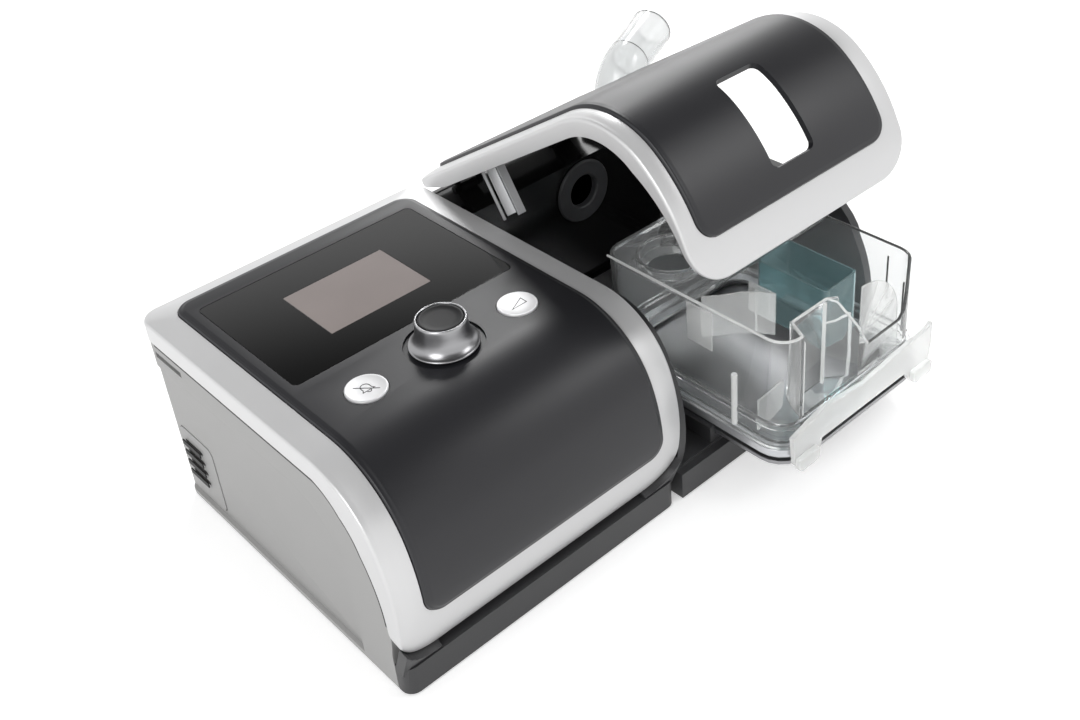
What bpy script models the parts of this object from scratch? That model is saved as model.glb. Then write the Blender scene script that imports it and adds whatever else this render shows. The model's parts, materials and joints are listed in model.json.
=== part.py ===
"""Bilevel airway pressure machine with a heated humidifier, built as separate pieces.

Lengths are in metres. X runs to the right along the front, Y to the back and Z up.
The drawing frame has its zero at the left front corner of the main unit on the table.
"""
import bmesh
import bpy
import math
from mathutils import Matrix, Vector

# General clearances
GAP = 0.0003
EDGE_GAP = 0.0004
OVERRUN = 0.020
TABLE_TO_SHELL = 0.0015

# Overall sizes of the two units
MAIN_WIDTH = 0.170
UNIT_DEPTH = 0.196
UNIT_HEIGHT = 0.118
TIP_Z = 0.0180
UNIT_GAP = 0.002
LID_WIDTH = 0.156
CASING_INSET = 0.0012

# Side profile shared by the main unit and the lid: flat, tight bend, wide bend
FIRST_BEND_Y = 0.045
FIRST_BEND_RADIUS = 0.050
FIRST_BEND_ANGLE = math.radians(70)
SECOND_BEND_RADIUS = 0.090

# Main bezel
BEZEL_BACK_RADIUS = 0.010
BEZEL_FRONT_RADIUS = 0.022
BEZEL_SIDE_DEPTH = 0.015
BEZEL_BEND_DEPTH = 0.0195
BEZEL_TIP_DEPTH = 0.009
BEZEL_CREASE_DROP = 0.0048
BEZEL_CREASE_INSET = 0.0016
BEZEL_CREASE_ROUNDING = 0.0013
BEZEL_OPENING_DROP = 0.0012
BEZEL_SKIN = 0.0025
CREASE_DEPTH_SHARE = 0.55
ROUNDING_DEPTH_SHARE = 0.2
UNDERNEATH_DEPTH_SHARE = 0.9
OPENING_LEFT_INSET = 0.0125
OPENING_RIGHT_INSET = 0.0155
OPENING_BACK_INSET = 0.0125
OPENING_FRONT_INSET = 0.0315
OPENING_RADIUS = 0.010

# Control panel, a raised cushion
PANEL_EDGE_GAP = 0.0003
PANEL_UNDERSIDE_DROP = 0.003
PANEL_EDGE_DROP = 0.0014
PANEL_SHOULDER_INSET = 0.0011
PANEL_SHOULDER_RISE = 0.0001
PANEL_TOP_INSET = 0.0036
PANEL_TOP_RISE = 0.0008

# Display
GLASS_LEFT = 0.0205
GLASS_RIGHT_INSET = 0.0245
GLASS_FRONT = 0.0840
GLASS_BACK_INSET = 0.0260
GLASS_RADIUS = 0.0030
GLASS_THICKNESS = 0.0010
GLASS_SINK = 0.00005
SCREEN_LEFT_INSET = 0.0335
SCREEN_RIGHT_INSET = 0.0345
SCREEN_FRONT_INSET = 0.0210
SCREEN_BACK_INSET = 0.0230
SCREEN_RADIUS = 0.0010
MODULE_BORDER = 0.0045

# Knob and push buttons
KNOB_LEFT_OF_MIDDLE = 0.0005
KNOB_Y = 0.0600
KNOB_POCKET_RADIUS = 0.0190
KNOB_POCKET_DEPTH = 0.0012
KNOB_RADIUS = 0.0165
KNOB_HEIGHT = 0.0144
KNOB_PRESS = 0.0008
KNOB_BORE_RADIUS = 0.0033
KNOB_SHAFT_RADIUS = 0.0030
KNOB_SHAFT_HOLE_RADIUS = 0.0045
KNOB_CAP_RADIUS = 0.0106
KNOB_CAP_POCKET_RADIUS = 0.0109
KNOB_CAP_POCKET_DEPTH = 0.0022
KNOB_CAP_THICKNESS = 0.0017
KNOB_CAP_ROUNDING = 0.0004
KNOB_OUTER_SHARES = ((0.97, 0.0), (1.0, 0.03), (0.995, 0.085), (0.92, 0.15), (0.84, 0.26),
                     (0.785, 0.42), (0.755, 0.62), (0.74, 0.84), (0.73, 0.95), (0.705, 1.0))
BUTTON_RADIUS = 0.0098
BUTTON_HOLE_RADIUS = 0.01015
BUTTON_RISE = 0.0009
BUTTON_ROUNDING = 0.0005
BUTTON_CROWN = 0.0002
BUTTON_FLANGE_RADIUS = 0.0115
BUTTON_FLANGE_THICKNESS = 0.0013
BUTTON_STEM_RADIUS = 0.0025
BUTTON_TRAVEL = 0.0010
MUTE_X = 0.0410
MUTE_Y = 0.0590
RAMP_RIGHT_INSET = 0.0438
RAMP_Y = 0.0580

# Side casing
CASING_SIDE_WALL = 0.0045
CASING_BACK_WALL = 0.0030
CASING_BACK_RADIUS = 0.0070
SEAM_GAP = 0.0006
RECESS_DEPTH = 0.0022
RECESS_DROP = 0.0320
RECESS_FLOOR_Z = 0.0045
RECESS_FRONT_Y = 0.0346
RECESS_REACH = 0.0354
RECESS_REACH_SHARES = (1.0, 0.517, 0.198, 0.045, 0.040, 0.020, 0.0)
RECESS_RISE_SHARES = (1.0, 0.953, 0.844, 0.722, 0.534, 0.288, 0.0)
FILTER_DOOR_LENGTH = 0.0320
FILTER_DOOR_BACK_INSET = 0.0055
FILTER_DOOR_BOTTOM = 0.0060
FILTER_DOOR_TOP = 0.0475
FILTER_DOOR_RADIUS = 0.0045
FILTER_DOOR_THICKNESS = 0.0020
FILTER_DOOR_PROUD = 0.0004
FILTER_SLOT_LENGTH = 0.0170
FILTER_SLOT_HEIGHT = 0.0026
FILTER_SLOT_PITCH = 0.0066
FILTER_SLOT_COUNT = 4
FILTER_SLOT_FIRST_Z = 0.0175
FILTER_SLOT_BACK_MARGIN = 0.0035
FILTER_THICKNESS = 0.0080
FILTER_MARGIN = 0.0020
CARD_BACK_INSET = 0.0210
CARD_BELOW_BOARD = 0.0040
CARD_WIDTH = 0.0240
CARD_LENGTH = 0.0320
CARD_THICKNESS = 0.0021
CARD_EDGE_SINK = 0.0005
CARD_SLOT_MARGIN = 0.0006
SOCKET_LENGTH = 0.0340
SOCKET_SIDE_MARGIN = 0.0022
SOCKET_TOP_MARGIN = 0.0019

# Bottom tray
TRAY_FLOOR_THICKNESS = 0.0030
TRAY_FRONT_SETBACK = 0.0004
TRAY_FRONT_THICKNESS = 0.0079
TRAY_FRONT_TOP_Z = 0.0172
TRAY_FRONT_RADIUS = 0.0060
HORN_INNER_DROP = 0.0062
HORN_OUTER_DROP = 0.0008
HORN_BELOW = 0.0060
HORN_STEPS = 7
POST_RADIUS = 0.0035
POST_SIDE_INSET = 0.0050
POST_FRONT_INSET = 0.0040
POST_BACK_INSET = 0.0440
FOOT_RADIUS = 0.0070
FOOT_INSET = 0.0180
FOOT_HEIGHT = 0.0012

# Circuit board and what sits on it
BOARD_LEFT = 0.0110
BOARD_RIGHT_INSET = 0.0130
BOARD_FRONT = 0.0300
BOARD_BACK_INSET = 0.0080
BOARD_DROP = 0.0195
BOARD_THICKNESS = 0.0016
BOARD_CORNER = 0.0030
ENCODER_HALF = 0.0065
ENCODER_HEIGHT = 0.0055
PLUNGER_RADIUS = 0.0040
PLUNGER_LENGTH = 0.0045
PLUNGER_SINK = 0.0015
SWITCH_HALF = 0.0035
SWITCH_HEIGHT = 0.0040

# Blower and air path
BLOWER_PLACE_SHARE = 0.3684
BLOWER_RADIUS = 0.0400
BLOWER_BACK_INSET = 0.0560
BLOWER_WALL = 0.0025
BLOWER_FLOOR_Z = 0.0258
BLOWER_TOP_Z = 0.0460
BLOWER_SHAFT_HOLE = 0.0060
BLOWER_COVER_THICKNESS = 0.0022
BLOWER_EYE_RADIUS = 0.0150
BLOWER_EYE_COLLAR = 0.0025
BLOWER_EYE_RISE = 0.0040
MOUNT_RADIUS = 0.0340
MOTOR_RADIUS = 0.0190
MOTOR_CLEARANCE = 0.0020
MOTOR_NECK_RADIUS = 0.0050
IMPELLER_RADIUS = 0.0300
IMPELLER_HUB_RADIUS = 0.0080
IMPELLER_FLOOR = 0.0020
IMPELLER_HEIGHT = 0.0130
IMPELLER_VANES = 9
IMPELLER_VANE_THICKNESS = 0.0014
AIR_BEHIND_SHARE = 0.85
AIR_Z = 0.0358
AIR_OUTER_RADIUS = 0.0095
AIR_BORE_RADIUS = 0.0075
AIR_HOLE_RADIUS = 0.0100
STUB_LENGTH = 0.0380
COUPLING_REACH = 0.0120
COUPLING_SEAL_RADIUS = 0.0140

# Power inlet
INLET_LEFT = 0.0290
INLET_RIGHT = 0.0570
INLET_BOTTOM = 0.0220
INLET_TOP = 0.0420
INLET_DEPTH = 0.0240
INLET_FLANGE = 0.0030
INLET_FLANGE_THICKNESS = 0.0015
INLET_WALL = 0.0028
INLET_CAVITY_DEPTH = 0.0160
INLET_PIN_WIDTH = 0.0020
INLET_PIN_HEIGHT = 0.0040
INLET_PIN_LENGTH = 0.0120
INLET_PIN_PITCH = 0.0070
INLET_PIN_LIFT = 0.0030

# Humidifier base
BASE_INSET = 0.0006
BASE_WALL = 0.0052
BASE_SKIRT = 0.0040
BAY_FLOOR_Z = 0.0180
DECK_THICKNESS = 0.0040
BASE_FRONT_TOP_Z = 0.0168
BASE_BACK_DROP = 0.0145
BASE_BACK_STEP = 0.0060
BASE_BACK_RADIUS = 0.0035
LID_SIDE_DEPTH = 0.0125
LID_BACK_DEPTH = 0.0080
LID_TIP_DEPTH = 0.0042
LID_BACK_REACH = 0.0060
LID_BACK_BLEND = 0.0100
FLOOR_PLATE_THICKNESS = 0.0020
RAIL_WIDTH = 0.0056
RAIL_TOP_Z = 0.0217
RAIL_LIP_WIDTH = 0.0035
RAIL_LIP_TOP_Z = 0.0270
RAIL_FRONT_Y = 0.0055
RAIL_BACK_CLEARANCE = 0.0020
HEATER_FRONT_Y = 0.0280
HEATER_BACK_CLEARANCE = 0.0040
HEATER_TOP_Z = 0.0217
HEATER_RADIUS = 0.0080
ELEMENT_INSET = 0.0180
ELEMENT_THICKNESS = 0.0050
ELEMENT_RADIUS = 0.0060

# Rear housing of the humidifier with the outlet tower
HOUSING_DEPTH = 0.0360
HOUSING_DROP = 0.0150
HOUSING_WALL = 0.0025
GASKET_LEFT_INSET = 0.0870
GASKET_DROP = 0.0355
GASKET_RADIUS = 0.0195
GASKET_BORE = 0.0100
GASKET_NECK_RADIUS = 0.0130
GASKET_HOLE_RADIUS = 0.0133
GASKET_PROUD = 0.0017
GASKET_ROUNDING = 0.0008
TOWER_WIDTH = 0.0380
TOWER_DEPTH = 0.0450
TOWER_DROP = 0.0020
TOWER_RADIUS = 0.0040
TOWER_BASE_RISE = 0.0024
ELBOW_RIGHT_INSET = 0.0175
ELBOW_BACK_INSET = 0.0180
ELBOW_BORE_RADIUS = 0.0110
ELBOW_SEAT_RADIUS = 0.0143
ELBOW_SEAT_DEPTH = 0.0080
NOTCH_SIDE_GAP = 0.0015
NOTCH_FRONT_GAP = 0.0025

# Lid
HINGE_BACK_INSET = 0.0025
HINGE_DROP = 0.0110
LID_REST_ANGLE = math.radians(32)
LID_BACK_RADIUS = 0.008
LID_FRONT_RADIUS = 0.022
LID_CREASE_DROP = 0.0040
LID_CREASE_INSET = 0.0016
LID_CREASE_ROUNDING = 0.0013
LID_OPENING_DROP = 0.0016
LID_SKIN = 0.0020
LID_OPENING_LEFT = 0.0080
LID_OPENING_RIGHT = 0.0145
LID_OPENING_BACK = 0.0090
LID_OPENING_FRONT = 0.0220
LID_OPENING_RADIUS = 0.011
LID_PANEL_UNDERSIDE = 0.0030
LID_PANEL_EDGE_DROP = 0.0018
LID_PANEL_TOP_RISE = 0.0004
WINDOW_LEFT_INSET = 0.0620
WINDOW_WIDTH = 0.0295
WINDOW_LENGTH = 0.0510
WINDOW_FRONT_INSET = 0.0359
WINDOW_RADIUS = 0.0040
STAY_LEFT_INSET = 0.0115
STAY_WIDTH = 0.0110
STAY_THICKNESS = 0.0016
STAY_FLANGE = 0.0075
STAY_FRONT_GAP = 0.0200
STAY_DROP = 0.0420
PIN_RADIUS = 0.0012
PIN_BORE_RADIUS = 0.0015
KNUCKLE_RADIUS = 0.0027
KNUCKLE_WIDTH = 0.0120
KNUCKLE_ARM = 0.0150
KNUCKLE_ARM_RISE = 0.0016
CHEEK_WIDTH = 0.0030
CHEEK_DEPTH = 0.0019
KNUCKLE_LEFT_INSET = 0.0240
KNUCKLE_SPREAD = 0.0720

# Water chamber, drawn pulled out at rest
CHAMBER_LEFT_INSET = 0.0355
CHAMBER_RIGHT_INSET = 0.0140
CHAMBER_FRONT_INSET = 0.0300
CHAMBER_TRAVEL = 0.0660
CHAMBER_BACK_CLEARANCE = 0.0007
CHAMBER_RADIUS = 0.0120
CHAMBER_WALL = 0.0018
CHAMBER_DROP = 0.0235
CHAMBER_BASE_Z = 0.0220
CHAMBER_BASE_THICKNESS = 0.0022
CHAMBER_SEAL_THICKNESS = 0.0016
CHAMBER_CLAMP_THICKNESS = 0.0048
CHAMBER_FLANGE = 0.0038
CHAMBER_FLANGE_THICKNESS = 0.0026
CHAMBER_LIP = 0.0022
CHAMBER_LIP_Z = 0.0420
CHAMBER_LIP_THICKNESS = 0.0030
POCKET_START_SHARE = 0.13
POCKET_LEFT_SHARE = 0.18
POCKET_RIGHT_SHARE = 0.42
POCKET_END_SHARE = 0.55
POCKET_DEPTH = 0.0110
COVER_LENGTH_SHARE = 0.514
COVER_THICKNESS = 0.0026
DOME_LEFT_INSET = 0.0255
DOME_BACK_INSET = 0.0275
DOME_RADIUS = 0.0190
DOME_DEPTH = 0.0090
DOME_WALL = 0.0022
DOME_FLOOR_SHARE = 0.8
SPOUT_HOLE_RADIUS = 0.0100
DUCT_LEFT_INSET = 0.0495
DUCT_WIDTH = 0.0260
DUCT_FRONT_SHARE = 0.1275
DUCT_HEIGHT = 0.0335
DUCT_WALL = 0.0010
DUCT_RADIUS = 0.0024
DUCT_DROP = 0.0010
GRIP_LEFT_INSET = 0.0005
GRIP_RIGHT_REACH = 0.0036
GRIP_THICKNESS = 0.0029
GRIP_BOTTOM_Z = 0.0225
GRIP_TOP_Z = 0.0310
GRIP_TAB = 0.0160
GRIP_TAB_DEPTH = 0.0059

# Outlet elbow
ELBOW_WALL = 0.0015
ELBOW_SPIGOT_RADIUS = 0.0107
ELBOW_SPIGOT_BELOW = 0.0030
ELBOW_CUP_RADIUS = 0.0155
ELBOW_NECK_RADIUS = 0.0130
ELBOW_TUBE_RADIUS = 0.0128
ELBOW_CUP_LIFT = 0.0026
ELBOW_BEND_RADIUS = 0.0165
ELBOW_BEND_STEPS = 6
ELBOW_MOUTH_REACH = 0.0320
ELBOW_AZIMUTH = math.radians(18)
ELBOW_RISE = math.radians(13)

# Fineness of rounded shapes
CORNER_STEPS = 5
BEND_COLUMNS = 15
WINDOW_COLUMNS = 6
ROUND_STEPS = 32
FINE_STEPS = 40
COARSE_STEPS = 20
SMOOTH_ANGLE = math.radians(32)
WELD_DISTANCE = 0.000002
SHARP_RADIUS = 0.0001

# Lengths worked out from the sizes above
LID_LEFT = MAIN_WIDTH + UNIT_GAP
LID_RIGHT = LID_LEFT + LID_WIDTH
FLAT_LENGTH = UNIT_DEPTH - FIRST_BEND_Y
FIRST_BEND_FALL = FIRST_BEND_RADIUS * (1 - math.cos(FIRST_BEND_ANGLE))
SECOND_BEND_SHARE = (UNIT_HEIGHT - TIP_Z - FIRST_BEND_FALL) / SECOND_BEND_RADIUS
SECOND_BEND_ANGLE = math.acos(math.cos(FIRST_BEND_ANGLE) - SECOND_BEND_SHARE) - FIRST_BEND_ANGLE
TIP_ANGLE = FIRST_BEND_ANGLE + SECOND_BEND_ANGLE
TIP_Y = (FIRST_BEND_Y - SECOND_BEND_RADIUS * math.sin(TIP_ANGLE)
         + (SECOND_BEND_RADIUS - FIRST_BEND_RADIUS) * math.sin(FIRST_BEND_ANGLE))
TRAY_FRONT_Y = TIP_Y + TRAY_FRONT_SETBACK
FIRST_BEND_LENGTH = FIRST_BEND_RADIUS * FIRST_BEND_ANGLE
SECOND_BEND_LENGTH = SECOND_BEND_RADIUS * SECOND_BEND_ANGLE
PROFILE_LENGTH = FLAT_LENGTH + FIRST_BEND_LENGTH + SECOND_BEND_LENGTH
CASING_LEFT = CASING_INSET
CASING_RIGHT = MAIN_WIDTH - CASING_INSET
PANEL_TOP_Z = UNIT_HEIGHT + PANEL_TOP_RISE
PANEL_UNDERSIDE_Z = UNIT_HEIGHT - PANEL_UNDERSIDE_DROP
KNOB_BASE_Z = PANEL_TOP_Z
KNOB_X = MAIN_WIDTH / 2 - KNOB_LEFT_OF_MIDDLE
RAMP_X = MAIN_WIDTH - RAMP_RIGHT_INSET
GLASS_RIGHT = MAIN_WIDTH - GLASS_RIGHT_INSET
GLASS_BACK = UNIT_DEPTH - GLASS_BACK_INSET
GLASS_TOP_Z = PANEL_TOP_Z - GLASS_SINK
GLASS_POCKET_Z = GLASS_TOP_Z - GLASS_THICKNESS - GAP
SCREEN_LEFT = GLASS_LEFT + SCREEN_LEFT_INSET
SCREEN_RIGHT = GLASS_RIGHT - SCREEN_RIGHT_INSET
SCREEN_FRONT = GLASS_FRONT + SCREEN_FRONT_INSET
SCREEN_BACK = GLASS_BACK - SCREEN_BACK_INSET
BOARD_RIGHT = MAIN_WIDTH - BOARD_RIGHT_INSET
BOARD_BACK = UNIT_DEPTH - BOARD_BACK_INSET
BOARD_Z = UNIT_HEIGHT - BOARD_DROP
BOARD_TOP_Z = BOARD_Z + BOARD_THICKNESS
RECESS_TOP_Z = UNIT_HEIGHT - RECESS_DROP
FILTER_DOOR_BACK = UNIT_DEPTH - FILTER_DOOR_BACK_INSET
FILTER_DOOR_FRONT = FILTER_DOOR_BACK - FILTER_DOOR_LENGTH
CARD_Y = UNIT_DEPTH - CARD_BACK_INSET
CARD_Z = BOARD_Z - CARD_BELOW_BOARD
POST_LEFT_X = BOARD_LEFT + POST_SIDE_INSET
POST_RIGHT_X = BOARD_RIGHT - POST_SIDE_INSET
BLOWER_X = INLET_RIGHT + (POST_RIGHT_X - INLET_RIGHT) * BLOWER_PLACE_SHARE
MOUNT_BORE = MOTOR_RADIUS + MOTOR_CLEARANCE
BLOWER_Y = UNIT_DEPTH - BLOWER_BACK_INSET
AIR_Y = BLOWER_Y + BLOWER_RADIUS * AIR_BEHIND_SHARE
STUB_END_X = BLOWER_X + STUB_LENGTH
COUPLING_END_X = LID_LEFT + COUPLING_REACH
TRAY_FLOOR_Z = TABLE_TO_SHELL + TRAY_FLOOR_THICKNESS
BASE_LEFT = LID_LEFT + BASE_INSET
BASE_RIGHT = LID_RIGHT - BASE_INSET
BAY_LEFT = BASE_LEFT + BASE_WALL
BAY_RIGHT = BASE_RIGHT - BASE_WALL
BAY_BACK_Y = UNIT_DEPTH - CASING_BACK_WALL
DECK_BOTTOM_Z = BAY_FLOOR_Z - DECK_THICKNESS
HOUSING_LEFT = BAY_LEFT + GAP
HOUSING_RIGHT = BAY_RIGHT - GAP
HOUSING_BACK_Y = BAY_BACK_Y - GAP
HOUSING_FRONT_Y = UNIT_DEPTH - HOUSING_DEPTH
HOUSING_TOP_Z = UNIT_HEIGHT - HOUSING_DROP
BASE_BACK_TOP_Z = UNIT_HEIGHT - BASE_BACK_DROP
BASE_BACK_STEP_Y = UNIT_DEPTH - BASE_BACK_STEP
RAIL_BACK_Y = HOUSING_FRONT_Y - RAIL_BACK_CLEARANCE
HEATER_BACK_Y = HOUSING_FRONT_Y - HEATER_BACK_CLEARANCE
GASKET_X = LID_LEFT + GASKET_LEFT_INSET
GASKET_Z = UNIT_HEIGHT - GASKET_DROP
TOWER_LEFT = LID_RIGHT - TOWER_WIDTH
TOWER_FRONT_Y = UNIT_DEPTH - TOWER_DEPTH
TOWER_TOP_Z = UNIT_HEIGHT - TOWER_DROP
TOWER_BASE_Z = HOUSING_TOP_Z + TOWER_BASE_RISE
ELBOW_X = LID_RIGHT - ELBOW_RIGHT_INSET
ELBOW_Y = UNIT_DEPTH - ELBOW_BACK_INSET
ELBOW_SEAT_Z = TOWER_TOP_Z - ELBOW_SEAT_DEPTH
NOTCH_LEFT = TOWER_LEFT - NOTCH_SIDE_GAP
NOTCH_FRONT_Y = TOWER_FRONT_Y - NOTCH_FRONT_GAP
HINGE_Y = UNIT_DEPTH - HINGE_BACK_INSET
HINGE_Z = UNIT_HEIGHT - HINGE_DROP
WINDOW_LEFT = LID_LEFT + WINDOW_LEFT_INSET
WINDOW_RIGHT = WINDOW_LEFT + WINDOW_WIDTH
WINDOW_FRONT_ARC = PROFILE_LENGTH - WINDOW_FRONT_INSET
WINDOW_BACK_ARC = WINDOW_FRONT_ARC - WINDOW_LENGTH
STAY_LEFT = LID_LEFT + STAY_LEFT_INSET
STAY_FRONT_Y = HOUSING_FRONT_Y - STAY_FRONT_GAP
STAY_BOTTOM_Z = UNIT_HEIGHT - STAY_DROP
KNUCKLE_ARM_BOTTOM_Z = HINGE_Z + KNUCKLE_ARM_RISE
KNUCKLE_XS = (LID_LEFT + KNUCKLE_LEFT_INSET, LID_LEFT + KNUCKLE_LEFT_INSET + KNUCKLE_SPREAD)
CHAMBER_LEFT = LID_LEFT + CHAMBER_LEFT_INSET
CHAMBER_RIGHT = LID_RIGHT - CHAMBER_RIGHT_INSET
CHAMBER_FRONT_Y = CHAMBER_FRONT_INSET - CHAMBER_TRAVEL
CHAMBER_BACK_Y = HOUSING_FRONT_Y - CHAMBER_TRAVEL - CHAMBER_FLANGE - CHAMBER_BACK_CLEARANCE
CHAMBER_TOP_Z = UNIT_HEIGHT - CHAMBER_DROP
CHAMBER_LENGTH = CHAMBER_BACK_Y - CHAMBER_FRONT_Y
COVER_FRONT_Y = CHAMBER_BACK_Y - CHAMBER_LENGTH * COVER_LENGTH_SHARE
COVER_TOP_Z = CHAMBER_TOP_Z - GAP
DOME_X = CHAMBER_LEFT + DOME_LEFT_INSET
DOME_Y = CHAMBER_BACK_Y - DOME_BACK_INSET
DUCT_LEFT = CHAMBER_LEFT + DUCT_LEFT_INSET
DUCT_RIGHT = DUCT_LEFT + DUCT_WIDTH
DUCT_FRONT_Y = CHAMBER_FRONT_Y + CHAMBER_LENGTH * DUCT_FRONT_SHARE
DUCT_TOP_Z = CHAMBER_TOP_Z - DUCT_DROP
DUCT_BOTTOM_Z = DUCT_TOP_Z - DUCT_HEIGHT
GRIP_LEFT = CHAMBER_LEFT + GRIP_LEFT_INSET
GRIP_RIGHT = CHAMBER_RIGHT + GRIP_RIGHT_REACH
GRIP_BACK_Y = CHAMBER_FRONT_Y - CHAMBER_FLANGE - GAP
GRIP_FRONT_Y = GRIP_BACK_Y - GRIP_THICKNESS
GRIP_TAB_Y = GRIP_BACK_Y - GRIP_TAB_DEPTH

shapes = []
pivots = {}


def clear_all():
    """Start from an empty file."""
    for item in list(bpy.data.objects):
        bpy.data.objects.remove(item, do_unlink=True)
    for store in (bpy.data.meshes, bpy.data.materials, bpy.data.curves):
        for item in list(store):
            store.remove(item)


def make_paint(name, colour, roughness, metallic=0.0, see_through=0.0, coat=0.0):
    """A plain surface with its own colour, roughness and metallic values."""
    paint = bpy.data.materials.new(name)
    paint.use_nodes = True
    shader = paint.node_tree.nodes["Principled BSDF"]
    shader.inputs["Base Color"].default_value = (*colour, 1.0)
    shader.inputs["Roughness"].default_value = roughness
    shader.inputs["Metallic"].default_value = metallic
    shader.inputs["Transmission Weight"].default_value = see_through
    shader.inputs["Coat Weight"].default_value = coat
    paint.diffuse_color = (*colour, 1.0)
    return paint


def make_shape(name, vertices, faces, paint, pivot):
    """A closed mesh in the drawing frame, remembered with the pivot that carries it."""
    mesh = bpy.data.meshes.new(name)
    mesh.from_pydata([tuple(vertex) for vertex in vertices], [], faces)
    work = bmesh.new()
    work.from_mesh(mesh)
    bmesh.ops.remove_doubles(work, verts=work.verts, dist=WELD_DISTANCE)
    bmesh.ops.recalc_face_normals(work, faces=work.faces)
    work.to_mesh(mesh)
    work.free()
    shape = bpy.data.objects.new(name, mesh)
    bpy.context.scene.collection.objects.link(shape)
    if paint is None:
        shape.hide_render = True
        shape.display_type = 'WIRE'
    else:
        mesh.materials.append(paint)
        shapes.append((shape, pivot))
    return shape


def join_loops(name, loops, paint=None, pivot="frame", ends="flat"):
    """Skin between loops of equal count, closed by flat faces, by strips or into a ring."""
    count = len(loops[0])
    vertices = [point for loop in loops for point in loop]
    faces = []
    pairs = [(row, row + 1) for row in range(len(loops) - 1)]
    if ends == "ring":
        pairs.append((len(loops) - 1, 0))
    for lower, upper in pairs:
        for spot in range(count):
            after = (spot + 1) % count
            faces.append((lower * count + spot, lower * count + after,
                          upper * count + after, upper * count + spot))
    for start in (0, (len(loops) - 1) * count):
        if ends == "flat":
            faces.append(tuple(start + spot for spot in range(count)))
        if ends == "strips":
            for spot in range(count // 2 - 1):
                faces.append((start + spot, start + spot + 1,
                              start + count - 2 - spot, start + count - 1 - spot))
    return make_shape(name, vertices, faces, paint, pivot)


def combine(target, tool, operation):
    """Cut or add one closed shape with another and keep the plain result."""
    modifier = target.modifiers.new(operation.title(), 'BOOLEAN')
    modifier.operation = operation
    modifier.solver = 'EXACT'
    modifier.object = tool
    bpy.context.view_layer.update()
    graph = bpy.context.evaluated_depsgraph_get()
    result = bpy.data.meshes.new_from_object(target.evaluated_get(graph))
    old = target.data
    target.modifiers.clear()
    target.data = result
    bpy.data.meshes.remove(old)
    result.name = target.name
    work = bmesh.new()
    work.from_mesh(result)
    bmesh.ops.remove_doubles(work, verts=work.verts, dist=WELD_DISTANCE)
    bmesh.ops.dissolve_degenerate(work, edges=work.edges, dist=WELD_DISTANCE)
    work.to_mesh(result)
    work.free()
    bpy.data.objects.remove(tool, do_unlink=True)


def cut(target, *tools):
    for tool in tools:
        combine(target, tool, 'DIFFERENCE')


def add(target, *tools):
    for tool in tools:
        combine(target, tool, 'UNION')


def plan_outline(left, right, front, back, front_radius, back_radius):
    """Rectangle seen from above with rounded corners."""
    points = []
    corners = ((right, front, front_radius, -1, 1, 270), (right, back, back_radius, -1, -1, 0),
               (left, back, back_radius, 1, -1, 90), (left, front, front_radius, 1, 1, 180))
    for x, y, radius, side, way, start in corners:
        for step in range(CORNER_STEPS + 1):
            angle = math.radians(start + 90 * step / CORNER_STEPS)
            points.append((x + side * radius + radius * math.cos(angle),
                           y + way * radius + radius * math.sin(angle)))
    return points


def grow_outline(points, distance):
    """Outline moved outward by a distance, corners kept sharp."""
    grown = []
    for spot, point in enumerate(points):
        here = Vector(point)
        before = (here - Vector(points[spot - 1])).normalized()
        after = (Vector(points[(spot + 1) % len(points)]) - here).normalized()
        side_before = Vector((before.y, -before.x))
        side_after = Vector((after.y, -after.x))
        middle = (side_before + side_after).normalized()
        grown.append(tuple(here + middle * distance / middle.dot(side_before)))
    return grown


def stack(name, levels, paint=None, pivot="frame", ends="flat"):
    """Body from outlines seen from above, each at its own height."""
    loops = [[(x, y, height) for x, y in outline] for outline, height in levels]
    return join_loops(name, loops, paint, pivot, ends)


def box(name, low, high, paint=None, pivot="frame"):
    outline = ((low[0], low[1]), (high[0], low[1]), (high[0], high[1]), (low[0], high[1]))
    return stack(name, ((outline, low[2]), (outline, high[2])), paint, pivot)


def slab(name, low, high, radius, paint=None, pivot="frame"):
    outline = plan_outline(low[0], high[0], low[1], high[1], radius, radius)
    return stack(name, ((outline, low[2]), (outline, high[2])), paint, pivot)


def turned(name, middle, axis, profile, steps, paint=None, pivot="frame", ends="flat"):
    """Body of revolution from radius and height pairs along an axis."""
    loops = []
    for radius, height in profile:
        loop = []
        for step in range(steps):
            angle = math.tau * step / steps
            across, along = radius * math.cos(angle), radius * math.sin(angle)
            if axis == "z":
                offset = (across, along, height)
            elif axis == "y":
                offset = (across, height, along)
            else:
                offset = (height, across, along)
            loop.append(tuple(Vector(middle) + Vector(offset)))
        loops.append(loop)
    return join_loops(name, loops, paint, pivot, ends)


def rod(name, middle, axis, radius, start, end, steps, paint=None, pivot="frame"):
    return turned(name, middle, axis, ((radius, start), (radius, end)), steps, paint, pivot)


def sleeve(name, middle, axis, outer, inner, start, end, steps, paint=None, pivot="frame"):
    profile = ((outer, start), (outer, end), (inner, end), (inner, start))
    return turned(name, middle, axis, profile, steps, paint, pivot, "ring")


def side_extrusion(name, points, left, right, paint=None, pivot="frame"):
    """Side view outline pushed through from left to right."""
    loops = [[(x, y, z) for y, z in points] for x in (left, right)]
    return join_loops(name, loops, paint, pivot)


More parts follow.
